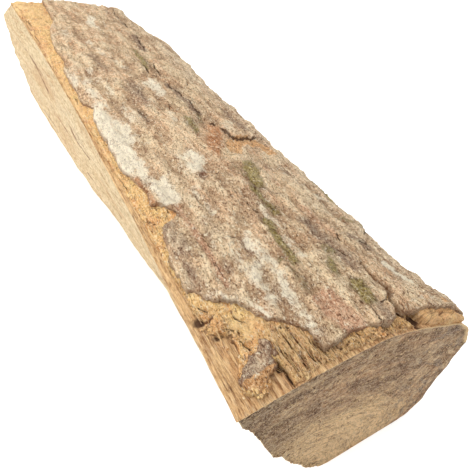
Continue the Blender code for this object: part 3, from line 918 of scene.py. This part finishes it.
def inner_bark_finish():
    """Orange tan bast: golden and crumbly, paler where fibres are broken, and painted shade in its cracks.
    """
    f = Finish("inner_bark")
    grains = f.cloud(1.0, 1.8, 1, 6, 0.85)
    threads = f.cloud(0.7, 10, 2, 6, 0.7)
    tone = f.cloud(7, 11, 3, 4, 0.6)
    fibre = f.value("fibre")
    specks = f.cloud(0.6, 0.9, 8, 2, 0.9)
    deep = (180, 130, 88)
    # low: painted shade among the cords and crumbs, raised to the brown stains
    low = f.value("low")
    cracked = abs(f.value("crack")).band(1.0, 0.3)
    pale = f.value("pale")
    colour = f.mix(tone.band(0.38, 0.5), (246, 186, 116), (252, 206, 132))
    colour = f.coats(
        colour,
        (tone.band(0.52, 0.64), (255, 218, 142)),
        (fibre * 0.45, (255, 212, 148)),
        (fibre * threads.band(0.5, 0.56) * 0.6, (200, 132, 78)),
        (fibre * threads.band(0.48, 0.4) * 0.9, (255, 228, 176)),
        # Painted shade in the low places, and the brown stains that low also carries
        ((low * 0.9 + (grains - 0.5) * 0.8).band(0.35, 0.9) * 0.35, (214, 136, 78)),
        ((low - 0.5).band(0.36, 0.5) * 0.3, (140, 72, 36)),
        (fibre * abs(threads - 0.5).band(0.03, 0.005) * 0.8, (112, 62, 34)),
        (f.value("stained") * 0.7, (198, 124, 72)),
    )
    colour = f.grain(colour, threads, 0.4, 0.3, 0.12, deep)
    colour = f.grain(colour, grains, 0.6, 0.4, 0.12, deep)
    colour = f.grain(colour, specks, 0.4, 0.3, 0.12, deep)
    colour = f.specks(colour, 0.9, 1.8, 53, 0.8, 0.6, (124, 80, 50))
    colour = f.coats(
        colour,
        (f.veins(2.6, 3.8, 9, 0.03) * (1 - fibre) * 0.7, (128, 72, 38)),
        # Painted shade inside the cracks and grooves
        (cracked * 0.8, (84, 46, 26)),
        # Painted shade along the torn edge and on its wall
        (f.value("edge").band(0.7, 0.0) * 0.35, (136, 84, 48)),
        (f.value("rolled") * 0.5,
         f.mix(f.cloud(9, 0.8, 21, 5, 0.7).band(0.42, 0.6), (255, 206, 152), (158, 104, 68))),
        # Painted highlights on the tops of the threads
        ((fibre * 0.7 + 0.2) * threads.band(0.49, 0.43) * 0.7, (255, 220, 160)),
        (pale * f.cloud(3, 9, 5, 4).band(0.35, 0.6) * 0.7, (252, 214, 156)),
    )
    relief = grains + threads * 0.8 + specks * 0.5 - cracked * 0.5
    return f.done(colour, 0.9, relief, 1.0)


BAST = inner_bark_finish()
# Where the bast crumbles along the wood's edge and has gone brown, and where it is pale
STAINS = ((2.4, 1.0, 2.4, 376, 1.2, 300, 0.8, 236), (1.0, 0.8, 2, 240, 1.5, 130))
PALE_SPOTS = ((17, 27, 9, 7, 0.7), (12, 355, 9, 26, 0.8), (9, 388, 12, 16, 1.0))


def bast_stained(s, y, deep):
    return stripe(s, y, STAINS) * smooth(-0.25, 0.15, noise(s / 1.2, y / 4, 0, 106))


def bast_low(s, y, deep):
    """Painted shade where the bast lies deep among cords and crumbs, raised to its brown stain where
    stronger.
    """
    return np.maximum(smooth(0.0, -0.8, bast_relief(s, y) + 0.9 * smooth(8, 0, y)), bast_stained(s, y, deep))


BAST_VALUES = {
    "low": bast_low,
    "stained": bast_stained,
    "fibre": lambda s, y, deep: blot(s, y, FIBRE_BANDS),
    "rolled": lambda s, y, deep: smooth(0.3, 1.2, roll_rise(s, y)),
    "crack": lambda s, y, deep: crack_distance(s, y, GROOVES + BAST_CRACKS, 99),
    "pale": lambda s, y, deep: smooth(5, 0.5, s) * smooth(100, 160, y) + blot(s, y, PALE_SPOTS),
}
lines_s = graded((19, 0.4), (43, 0.3), (66, 0.42), (112, 0.9), (134, 1.3)) - 1
lines_y = graded((26, 0.46), (60, 0.8), (LENGTH, 2.1))
inner_bast = torn_sheet("inner_bast", lines_s, lines_y, inner_inside, inner_top, inner_bottom,
                        BAST_VALUES, BAST)
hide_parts("inner_bark")

# Splinters and crumbs of bast
# Where the bast is torn open at the near end it stands up in long slivers along the grain, and small
# broken lumps of it lie in the hollows. Each is a closed bit of the same orange bast.
SLIVER_ZONES = (
    # (s from, s to, y from, y to, length from, length to, how many)
    (19.6, 31, 0.5, 12, 7, 16, 70), (30, 40, 0.5, 2, 3, 7, 36), (40, 66, 0.5, 1.8, 2, 5, 44),
    (2, 9, 22, 38, 3, 8, 14), (0.6, 6, 44, 96, 4, 10, 20),
)


def bast_bits(name, rings, fibre, low, pale):
    """Closed bits of bast from rings of points, shaped (bits, rings, sides, 3), each closed flat at its
    ends. fibre, low and pale are the shade of each bit, from 0 to 1."""
    bits, count, sides = rings.shape[:3]
    faces = []
    for bit in range(bits):
        base = bit * count * sides
        for r in range(count - 1):
            for k in range(sides):
                a, b = base + r * sides + k, base + r * sides + (k + 1) % sides
                faces.append((a, b, b + sides, a + sides))
        faces.append(tuple(base + k for k in reversed(range(sides))))
        faces.append(tuple(base + (count - 1) * sides + k for k in range(sides)))
    plain = np.zeros(bits)
    values = {"fibre": fibre, "low": low, "pale": pale, "crack": plain + NO_CRACK, "edge": plain + FAR_IN,
              "rolled": plain}
    values = {key: np.repeat(shade, count * sides) for key, shade in values.items()}
    piece = closed_piece(name, rings.reshape(-1, 3), faces, values, [BAST])


def make_splinters():
    """Slivers that taper to both ends and lift at their near end."""
    chance = np.random.default_rng(201)
    bits = []
    turn = np.linspace(0, 2 * np.pi, 6)[:5]
    for s0, s1, y0, y1, short, long, count in SLIVER_ZONES:
        for _ in range(count):
            s, y = chance.uniform(s0, s1), chance.uniform(y0, y1)
            size = chance.uniform(short, long)
            wide, thick = chance.uniform(0.12, 0.3), chance.uniform(0.1, 0.2)
            lift, drift = chance.uniform(-0.2, 0.6), chance.normal(0, 0.5)
            t = np.linspace(0, 1, 6)
            taper = np.array([0.35, 0.8, 1.0, 0.9, 0.6, 0.15])
            line_y = np.clip(y + t * size, 0.3, LENGTH)
            line_s = s + drift * t + 0.25 * noise(t * 3, s, y, 203)
            seat = inner_top(line_s, line_y, 3.0 + 0 * t)
            high = np.maximum(seat, 0.2) + 0.1 + lift * (1 - t) ** 2 * (size > 4)
            centre = over_wood(line_s, line_y, high)
            side = over_wood(line_s + 0.5, line_y, high) - over_wood(line_s - 0.5, line_y, high)
            side /= np.linalg.norm(side, axis=1)[:, None]
            up = over_wood(line_s, line_y, high + 1) - centre
            sideways = side[:, None] * (np.cos(turn) * wide)[None, :, None] * taper[:, None, None]
            upward = up[:, None] * (np.sin(turn) * thick)[None, :, None] * taper[:, None, None]
            bits.append(centre[:, None] + sideways + upward)
    shade = chance.uniform(0, 1, len(bits))
    bast_bits("bast_splinters", np.array(bits), 0.6 + 0.4 * shade, 0.35 * np.roll(shade, 2), 0.5 * shade)


make_splinters()

CRUMB_ZONES = (
    # (s, y, half width, half length, how many)
    (8, 5, 4.5, 3, 34), (6, 33, 5, 6, 24), (12, 26, 8, 8, 24), (52, 2.6, 12, 1.8, 44), (62, 4, 4, 2, 14),
    (6, 92, 5, 6, 14),
)


def make_crumbs():
    """Lumps that sit part sunk in the bast."""
    chance = np.random.default_rng(211)
    bits = []
    turn = np.linspace(0, 2 * np.pi, 8)[:7]
    for s0, y0, wide, long, count in CRUMB_ZONES:
        for _ in range(count):
            s = s0 + wide * np.clip(chance.normal(0, 0.5), -1, 1)
            y = max(y0 + long * np.clip(chance.normal(0, 0.5), -1, 1), 1.0)
            size = chance.uniform(0.2, 0.6)
            tall = np.array([-0.9, -0.45, 0.1, 0.6, 0.9]) * size * chance.uniform(0.5, 0.9)
            spread = np.array([0.45, 0.95, 1.0, 0.7, 0.3]) * size
            seat = float(inner_top(np.array(s), np.array(y), 3.0)) + 0.15
            east, north = np.cos(turn)[None], np.sin(turn)[None]
            lump = 1 + 0.35 * noise(east * 1.5 + s, north * 1.5 + y, tall[:, None] * 2, 213)
            across = s + east * spread[:, None] * lump
            along = np.clip(y + north * spread[:, None] * lump * 1.3, 0.1, LENGTH)
            bits.append(over_wood(across, along, seat + tall[:, None] + 0 * across))
    shade = chance.uniform(0, 1, len(bits))
    bast_bits("bast_crumbs", np.array(bits), 0 * shade, 0.5 * np.roll(shade, 2), shade)


make_crumbs()

# Outer bark
# The dry grey-brown bark that covers most of the curved side, a thin plate with low lengthwise ridges,
# flaked layers, lichen and a little moss. Its far right part stands a little proud along a seam.
# Its outline in parts, as (s, y), and its thickness
OUTER_LEFT = (
    (25, 400), (22, 360), (20, 338), (12, 314), (8, 280), (9, 260), (5, 243), (5, 200), (9, 190), (5, 178),
    (5, 150), (4, 128), (9, 107), (7, 98), (13, 94), (16, 84), (7, 83), (5, 75), (3, 62), (3, 50), (7, 43),
    (11, 38), (17, 35), (20, 26), (28, 18), (31, 13), (32.5, 5),
)
OUTER_NEAR = (
    (39, 4), (45, 6), (51, 5), (57, 3), (62, 4.6), (63, 8.5), (63.3, 12.4), (66.2, 15.4), (68.4, 18),
    (67.6, 21.8), (66.3, 27), (68.8, 35.5), (70, 45), (73.4, 57), (84, 66), (100, 73), (112, 78), (121, 82),
)
OUTER_RIGHT = ((120, 120), (119, 160), (121, 200), (118, 240), (120, 290), (115, 345), (107, 400))
OUTER_OUTLINE = OUTER_LEFT + OUTER_NEAR + OUTER_RIGHT
OUTER_BARK = 2.7
# The far right plate's seam, as (s, y)
FAR_SEAM = (
    (88, 400), (87, 357), (83.5, 324), (73, 275), (65.5, 242), (63, 208), (64.5, 193), (63.5, 165),
    (64.5, 157.5), (68, 156), (69.5, 149), (71, 143.5), (76, 141), (83, 146), (93, 149), (125, 150),
)
FAR_PLATE_RISE = 1.6
# How far the bark swells along its right edge, at places along the log
BULGE_AT = (0, 20, 36, 52, 65, 105, 145, 170, 200, 245, 280, 315, 345)
BULGE = (-1.2, -0.5, 0.4, 1.4, 2.6, 2.6, 1.9, 1.0, 0.2, -1.6, -0.5, 1.3, 0)
# Each mark from here on is its half width, its strength, and the places s, y, s, y, ... along it.
# First the long shallow valleys between the bark's low ridges
VALLEYS = (
    (2, 1, 17.5, 112, 17.5, 62, 17, 42), (2, 1, 30.5, 66, 30.5, 40, 30, 18),
    (2, 1.1, 45, 72, 43, 50, 42, 26, 41, 6), (2.6, 1, 54, 112, 53, 90, 52, 70, 50, 44),
    (1.6, 0.7, 24, 130, 25, 96, 26, 72), (1.6, 0.7, 40, 112, 38, 84, 36, 64),
    (2.4, 0.8, 64, 60, 63, 40, 62, 22), (2.4, 0.9, 30, 200, 29, 172, 30, 140),
    (2, 0.8, 18, 240, 19, 200, 20, 160), (2.4, 0.8, 42, 236, 44, 200, 46, 170),
    (2.6, 1, 62, 270, 60, 236, 64, 204), (2.2, 0.8, 30, 330, 28, 286, 27, 250),
    (2.4, 1, 84, 388, 84, 340, 83, 300, 78, 260), (2.2, 0.7, 50, 310, 46, 280, 44, 250),
    (1.8, 0.7, 80, 60, 80, 30), (1.8, 0.8, 92, 96, 91, 50, 90, 22), (1.6, 0.7, 103, 120, 102, 60),
)
# The cracks have no strength: each is its half width and the places along it
# Carved and painted dark: painted shade in each crack and, along the far seam, at the plate's edge
BARK_CRACKS = (
    (0.7, 63, 158, 67, 157, 69.5, 150, 71, 143.5, 76, 141, 83, 146, 93, 149),
    (0.8, 56, 242, 57, 230, 59, 226, 62, 228), (0.6, 61, 206, 63, 200), (0.4, 80, 220, 76, 212),
    (0.3, 47, 176, 49, 181, 50, 174), (0.25, 28, 174, 29, 167), (0.25, 56.5, 12, 56.6, 8, 57, 3),
    (0.25, 61, 14.5, 64, 13.5, 66, 14), (0.3, 27, 63, 28.2, 62.6), (0.4, 40.5, 106.5, 42, 105.5),
    (0.15, 44, 118, 44.5, 110), (0.12, 16.6, 58, 17, 48), (0.25, 65, 48, 68, 40), (0.3, 88, 52, 92, 47),
    (0.3, 104, 60, 112, 66), (0.7, 69, 288, 70, 282), (0.2, 24.5, 92, 25, 86), (0.4, 75.5, 50, 77.5, 57),
    (0.5, 87.5, 388, 87, 357, 84, 332), (0.75, 83, 322, 78, 300, 73, 280), (0.5, 66, 246, 64, 224),
    (0.55, 63, 212, 64.5, 193, 64, 170), (0.15, 44, 83, 45, 76), (0.2, 96, 96, 99, 88),
    (0.25, 102, 118, 104, 108),
)
# Growths, tears and stains, and dark marks that are partly painted shade
LICHEN = (
    (5, 1.5, 8, 190, 9, 150, 8, 128), (4.2, 1.3, 14, 168, 15, 150), (4, 1.2, 11, 138, 12, 114),
    (3.6, 2.4, 15, 110, 15.5, 98), (4, 0.75, 22, 182, 23, 168), (3.5, 0.85, 7, 242, 8, 224),
    (3.5, 0.8, 12, 228, 13, 188), (6, 1.15, 36, 123, 33, 112), (5.5, 1.1, 50, 214, 50, 199),
    (4, 1.05, 56, 356, 48, 338, 48, 320), (3, 0.65, 65, 352, 59, 330), (3, 0.75, 31, 290, 33, 260),
    (3, 0.75, 21, 312, 22, 298), (3.6, 0.75, 10, 42, 17, 34, 22, 26), (4, 0.75, 24, 62, 27, 45, 26, 30),
    (3.4, 0.85, 33, 62, 34, 40, 33, 28, 34, 12), (3, 0.65, 48, 76, 49, 62, 47, 44),
    (2.6, 0.75, 26, 97, 27, 80), (3.2, 0.75, 46, 88, 52, 84), (2.6, 0.6, 33, 8, 39, 6.5),
    (2.6, 0.55, 87, 20, 91, 30), (3, 0.45, 108, 42, 112, 30), (3, 0.75, 110, 108, 113, 84),
    (3, 0.4, 80, 12, 92, 9), (4, 0.7, 86, 110, 96, 88), (5, 0.5, 84, 160, 72, 152),
    (4, 0.4, 66, 128, 70, 112), (1.4, 2.2, 92, 36, 92.6, 30), (1.6, 2.2, 93, 26, 93, 20),
    (4, 0.5, 100, 300, 96, 210), (4, 0.5, 40, 185, 44, 160), (3.5, 0.5, 20, 240, 22, 200),
    (4, 0.5, 37, 260, 42, 235), (3, 0.4, 76, 105, 80, 80),
)
MOSS = (
    (3, 1, 62, 276, 59, 246), (2.4, 0.8, 58, 252, 57, 238), (4.2, 1.15, 63, 111, 58, 96),
    (3, 0.6, 53, 108, 55, 100), (2.6, 0.85, 53, 92, 53, 80, 54, 71), (2, 1.05, 46, 68, 44, 54, 43, 41),
    (3.2, 1.35, 60.5, 24, 59, 17), (2.6, 0.9, 57, 37, 55, 32), (3.6, 0.8, 51, 162, 50, 147),
    (2.5, 0.6, 62, 171, 60, 160), (2.4, 0.6, 40, 46, 40, 28), (3.2, 0.95, 108, 106, 110, 92),
    (3, 0.6, 62, 46, 60, 36), (2.4, 0.7, 98, 70, 106, 64),
)
RUST = (
    (5.6, 1.1, 50, 124, 57, 137, 64, 151), (5, 0.5, 70, 345, 74, 300), (5, 0.6, 60, 234, 66, 216),
    (3, 0.8, 47, 182, 50, 172), (1.8, 0.9, 8, 118, 9, 98), (5, 0.5, 36, 345, 44, 372),
    (3, 0.5, 24, 246, 27, 232), (3, 0.5, 92, 128, 96, 118), (3, 0.6, 37, 182, 41, 172),
)
BARED = (
    (3, 2.2, 63.5, 126, 69, 136, 77, 140, 88, 144, 94, 142, 94, 134), (2, 0.5, 101, 12, 98, 9),
)
PINK = (
    (4.8, 1.5, 43.5, 22, 44.5, 15, 46, 9), (1.8, 0.85, 16, 110, 17, 62, 16.5, 44),
    (5, 0.75, 72, 74, 74, 56), (4, 0.6, 47, 84, 40, 68), (4, 0.6, 76, 112, 70, 94),
    (4, 0.6, 27, 300, 29, 268), (4, 0.6, 72, 260, 66, 236), (3, 0.7, 80, 26, 76, 16),
    (3, 0.5, 55, 52, 62, 50),
)
# Darker bark, but the marks just left of the far seam are painted shade beside the proud plate
DARK = (
    (3.5, 1.1, 81, 322, 76, 300, 71, 278), (3, 1.1, 61, 212, 62.5, 192, 62, 168), (4.5, 0.75, 9, 82, 7, 50),
    (6, 0.8, 37, 214, 34, 180), (6, 0.9, 66, 62, 65, 34), (3.4, 1, 62, 208, 62, 186),
    (2.2, 0.8, 29, 178, 28, 163), (5, 0.6, 62, 16, 60, 4), (3.5, 0.9, 89, 184, 91, 158),
    (1.5, 0.6, 30, 60, 30, 24), (2, 0.6, 21, 76, 20, 48), (2.6, 0.8, 85, 378, 84, 344),
    (5, 0.6, 26, 262, 28, 230), (6, 0.5, 78, 384, 71, 300), (4, 0.6, 56, 92, 66, 84),
    (4, 0.9, 88, 54, 92, 46), (6, 0.5, 66, 120, 74, 114), (2.5, 0.7, 90, 116, 92, 104),
    (4, 0.5, 48, 162, 50, 140), (3, 0.5, 30, 140, 27, 122), (2.5, 0.5, 41, 362, 50, 340),
)
KNOT = (33.5, 104.5)


def seen(s, y):
    """Where the marks of the bark lie: a little further over and along than they were measured."""
    return s + np.interp(s, (30, 48, 62, 90), (0.0, 1.4, 3.2, 5.0)), y + 2.0


def bark_marks(marks):
    """A value for torn_sheet: how strongly a place belongs to some of the marks above."""
    return lambda s, y, deep: stripe(*seen(s, y), marks)


def near_seam(s, y):
    """1 where the side plate and the rest of the bark are still one, away from the near crack."""
    return smooth(32, 44, y) * smooth(100, 92, y) * smooth(64, 66, s) * smooth(124, 119, s)


def outer_inside(s, y):
    return ragged(s, y, OUTER_OUTLINE, 0.8, 0.6, 101) + 1.5 * near_seam(s, y)


def far_plate(s, y):
    """How far inside the proud far right plate a place is."""
    return inside_of(s, y, FAR_SEAM + ((140, 150), (140, 400))) + 0.7 * rough(s / 4, y / 6, 0, 111, 2)


def bark_relief(s, y):
    """The low ridges, scales and pits of the weathered bark."""
    lumps = 0.5 * rough(s / 15, y / 38, 0, 121, 3)
    ridges = 0.68 * rough(s / 4.5, y / 24, 0, 125, 3)
    layer = rough(s / 7, y / 12, 0, 129, 4, 0.6) * 2.4
    flakes = 0.52 * (np.floor(layer) + smooth(0.85, 1.0, layer - np.floor(layer)) + 0.5)
    pits = 0.3 * rough(s / 1.3, y / 1.8, 0, 133, 2)
    return lumps + ridges + flakes + pits - 0.8 * stripe(s, y, VALLEYS)


def bark_skin(s, y, deep):
    """The height of weathered bark over its own underside."""
    across, along = seen(s, y)
    inside = far_plate(across, along)
    crisp = smooth(185, 160, y) * smooth(98, 90, s)
    width = 0.4 + 7.0 * (1 - crisp)
    ends = smooth(150, 190, y + 60 * smooth(98, 90, s)) * smooth(345, 330, y)
    plate = FAR_PLATE_RISE * smooth(-0.5, 1.0, inside / width) * np.where(s < 92, smooth(345, 330, y), ends)
    crack = np.abs(crack_distance(across, along, BARK_CRACKS, 141))
    split = -1.2 * np.exp(-(crack / 1.1) ** 2)
    far = np.hypot(across - KNOT[0], (along - KNOT[1]) / 1.3)
    knot = 0.8 * np.exp(-((far - 2.6) / 0.9) ** 2) - 0.9 * np.exp(-(far / 1.3) ** 2)
    bulge = smooth(80, 100, s) * np.interp(y, BULGE_AT, BULGE)
    bulge = bulge + 2.2 * blot(s, y, ((84, 400, 10, 16, 1.0),))
    moss = 0.5 * stripe(across, along, MOSS) * (0.3 + noise(s / 0.8, y / 0.8, 0, 151))
    bared = -0.9 * np.minimum(stripe(across, along, BARED), 1)
    flank = 1 - 0.4 * np.exp(-deep / 0.45)
    height = OUTER_BARK + bark_relief(s, y) + plate + split + knot + bulge + moss + bared
    return np.maximum(height, 0.5) * flank


def outer_top(s, y, deep):
    return inner_thickness(s) + bark_skin(s, y, deep)


def outer_bottom(s, y):
    return inner_thickness(s) * 0.7


def bark_finish():
    """Dry outer bark: mottled grey brown, grainy, with pale lichen crusts, moss and rusty tears."""
    f = Finish("outer_bark")
    broad = f.cloud(14, 30, 11, 3, 0.5)
    warm = f.cloud(9, 17, 31, 3, 0.5)
    streak = f.cloud(2.8, 26, 12, 6, 0.68)
    blots = f.cloud(5, 9, 14, 7, 0.7, 0.5)
    gritty = f.cloud(2.2, 4.2, 19, 7, 0.88)
    grain = f.cloud(0.6, 1.1, 13, 2, 0.9)
    scales = (f.cloud(9, 15, 41, 7, 0.66, 0.5) * 9.0).math("FRACT")
    side = f.value("side")
    lines = f.cloud(1.6, 34, 33, 6, 0.72)
    # relief: the bark's height, painted as shade where low and as highlight where high
    relief = f.value("relief")
    dark = (f.value("dark") + (blots - 0.5) * 1.6).band(0.3, 0.9)
    pink = (f.value("pink") + (blots - 0.5) * 1.4).band(0.4, 1.0)
    lichen = f.value("lichen") - f.value("pink") * 0.4 + (gritty - 0.5) * 2.8 + (blots - 0.5) * 3.0
    lichen = lichen.band(0.4, 1.1)
    rust = (f.value("rust") + (blots - 0.5) * 2.0 + (gritty - 0.5) * 0.8).band(0.4, 1.0)
    bared = (f.value("bared") + blots - 0.5).band(0.3, 0.6)
    moss = (f.value("moss") + (blots - 0.5) * 2.0 + (gritty - 0.5) * 2.0).band(0.42, 0.92)
    clumps = f.cloud(1.0, 1.5, 18, 5, 0.8)
    cracked = abs(f.value("crack")).band(1.2, 0.4)
    colour = f.mix(broad.band(0.42, 0.58), (240, 200, 158), (255, 222, 178))
    colour = f.coats(
        colour,
        (warm.band(0.5, 0.62) * 0.5, (228, 174, 130)),
        (warm.band(0.5, 0.38) * 0.45, (208, 188, 152)),
        (streak.band(0.51, 0.6) * 0.5, (180, 140, 106)),
        (streak.band(0.48, 0.4) * 0.5, (252, 232, 196)),
        (side * 0.3, (248, 228, 198)),
        (side * lines.band(0.51, 0.57) * 0.8, (156, 116, 82)),
        (side * lines.band(0.48, 0.42) * 0.7, (255, 238, 206)),
        # Painted shade in the valleys between the ridges
        (f.value("valley").band(0.2, 1.0) * 0.45, (172, 138, 102)),
        # Painted shade where the bark lies low, and painted highlight where it stands high
        (relief.band(0.5, 0.2) * 0.6, (170, 130, 96)),
        (relief.band(0.5, 0.85) * 0.5, (252, 230, 194)),
        # Darker bark, with painted shade beside the far seam
        (dark * 0.85, (148, 118, 98)),
        (pink * 0.8, (222, 168, 134)),
        (lichen * 0.97, (255, 244, 219)),
        (rust * 0.8, (206, 132, 76)),
        (bared * 0.9, (238, 180, 118)),
        # Scale steps: a dark line, partly darker bark and partly painted shade, after a painted highlight
        (scales.band(0.2, 0.0) * 0.38, (138, 98, 68)),
        (scales.band(0.72, 1.0) * 0.3, (255, 240, 212)),
        (moss * 0.85, f.mix(clumps.band(0.4, 0.6), (120, 104, 38), (192, 172, 88))),
        (f.value("knot") * 0.9, (120, 66, 48)),
        (f.veins(7, 11, 43, 0.014) * 0.6, (140, 84, 52)),
        (f.veins(2.2, 3.0, 16, 0.03) * 0.5, (120, 84, 60)),
    )
    colour = f.grain(colour, gritty, 0.55 - lichen * 0.3, 0.35)
    colour = f.grain(colour, grain, 0.6 - lichen * 0.3, 0.3)
    colour = f.specks(colour, 1.0, 2.0, 51, 0.8 - lichen * 0.45, 0.7)
    colour = f.coats(
        colour,
        # Painted shade inside the cracks, and beside the far seam
        (cracked * 0.85, (74, 46, 30)),
        # Painted shade along the torn edge and on its wall
        (f.value("edge").band(0.7, 0.0) * 0.5, (132, 92, 62)),
    )
    relief = grain * 0.8 + gritty * 1.3 + blots * 0.5 + streak * 0.4 + moss * clumps * 0.8 - scales * 0.35
    relief = relief - cracked * 0.8
    return f.done(colour, 0.88, relief, 1.0)


BARK = bark_finish()


def knot_stain(s, y, deep):
    """1 on the small knot of a shed twig, which sits a little askew."""
    s, y = seen(s, y)
    far = np.hypot((s - KNOT[0]) / 2.3, (y - KNOT[1] - 0.4 * (s - KNOT[0])) / 3.0)
    return smooth(1.25, 0.75, far + 0.25 * noise(s / 1.1, y / 1.1, 0, 155))


BARK_VALUES = {
    "lichen": bark_marks(LICHEN),
    "moss": bark_marks(MOSS),
    "rust": bark_marks(RUST),
    "bared": bark_marks(BARED),
    "pink": bark_marks(PINK),
    "dark": bark_marks(DARK),
    # valley: painted shade in the valleys
    "valley": lambda s, y, deep: stripe(s, y, VALLEYS),
    # relief: painted shade where low and painted highlight where high
    "relief": lambda s, y, deep: 0.5 + bark_relief(s, y) / 2.6,
    "side": lambda s, y, deep: smooth(74, 92, s),
    "knot": knot_stain,
    "crack": lambda s, y, deep: crack_distance(*seen(s, y), BARK_CRACKS, 141),
}
lines_s = graded((124, 0.78))
lines_y = graded((60, 0.72), (LENGTH, 1.15))
outer_bark = torn_sheet("outer_bark_plate", lines_s, lines_y, outer_inside, outer_top, outer_bottom,
                        BARK_VALUES, BARK, joined=near_seam)
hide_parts("outer_bark")

# Side plate
# The thicker plate of the same bark at the near right corner, cracked loose along a seam and lifted by
# the rolled bast under it. Weather has worn it to tan and grey lengthwise streaks.
# Its outline in parts, as (s, y), and how far it is lifted at the near end
PLATE_SEAM = (
    (66.4, 6), (65.2, 9), (65.2, 12.2), (68, 14.2), (70.4, 17.4), (69.3, 22), (67.8, 27), (70.2, 35.5),
    (71.4, 45), (74.6, 56), (84.5, 65), (100.5, 72), (112.5, 77), (121, 80.5),
)
PLATE_OUTER = (
    (124, 60), (127, 32), (126, 9), (118, 6), (108, 4.5), (100, 3.4), (90, 4.2), (80, 3.8), (74, 5.4),
)
PLATE_OUTLINE = PLATE_SEAM + PLATE_OUTER
PLATE_LIFT = 0.25


def plate_seam_side(s, y):
    return near_seam(s, y) * smooth(40, 50, y + (s - 66))


def plate_inside(s, y):
    return ragged(s, y, PLATE_OUTLINE, 0.5, 0.4, 161) + 1.5 * near_seam(s, y)


def plate_top(s, y, deep):
    lift = PLATE_LIFT * smooth(40, 26, y)
    return inner_thickness(s) + 0.03 + lift + roll_rise(s, y) + bark_skin(s, y, deep)


def plate_bottom(s, y):
    return inner_thickness(s) * 0.7 + roll_rise(s, y) * 0.9


lines_s = graded((64, 0.65)) + 64.5
lines_y = graded((80, 0.65)) + 5
side_plate = torn_sheet("side_bark_plate", lines_s, lines_y, plate_inside, plate_top, plate_bottom,
                        BARK_VALUES, BARK, joined=plate_seam_side)
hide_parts("side_plate")

# Bark flake
# A small grey island of outer bark left on the crumbling bast at the near left corner.
# Its outline, as (s, y), and its thickness
FLAKE = (
    (18.6, 18.4), (16.6, 19), (14.6, 17), (11.5, 14.8), (7.5, 12.6), (4.6, 9.8), (4.0, 7.2), (6, 5),
    (8.5, 3.8), (11.5, 4.2), (14, 5.8), (16.2, 8), (17.8, 11), (19, 14.5),
)
FLAKE_BARK = 1.5


def flake_inside(s, y):
    return ragged(s, y, FLAKE, 0.7, 1.1, 181)


def flake_crumbling(s, y):
    """1 at the flake's near side, where the grey skin has crumbled down to the bast."""
    return smooth(1.0, -1.0, (y - 7.6) - 0.1 * (s - 11) + 2.4 * noise(s / 2.2, y / 2.2, 0, 187))


def flake_top(s, y, deep):
    lumps = 0.4 * rough(s / 4, y / 4, 0, 185, 3)
    crumbs = 0.9 * creases(s, y, 1.5, 1.5, 188) + 0.6 * creases(s, y, 0.8, 0.8, 189) - 0.5
    flank = 1 - 0.7 * np.exp(-deep / 1.2)
    seat = blot(s, y, ((8.5, 6, 4.5, 4, 1.0),)).clip(0, 1)
    return INNER_BARK * 0.9 + seat + (FLAKE_BARK + lumps + 1.3 * crumbs * flake_crumbling(s, y)) * flank


def flake_bottom(s, y):
    return INNER_BARK * 0.5 + 0 * y


FLAKE_VALUES = BARK_VALUES | {
    "dark": lambda s, y, deep: 0 * s + 0.8,
    "lichen": lambda s, y, deep: 0.2 * smooth(8, 14, y),
    "bared": lambda s, y, deep: flake_crumbling(s, y),
}
lines_s = graded((18, 0.3)) + 2.5
lines_y = graded((20, 0.3)) + 1.2
flake = torn_sheet("grey_bark_flake", lines_s, lines_y, flake_inside, flake_top, flake_bottom,
                   FLAKE_VALUES, BARK)
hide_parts("bark_flake")
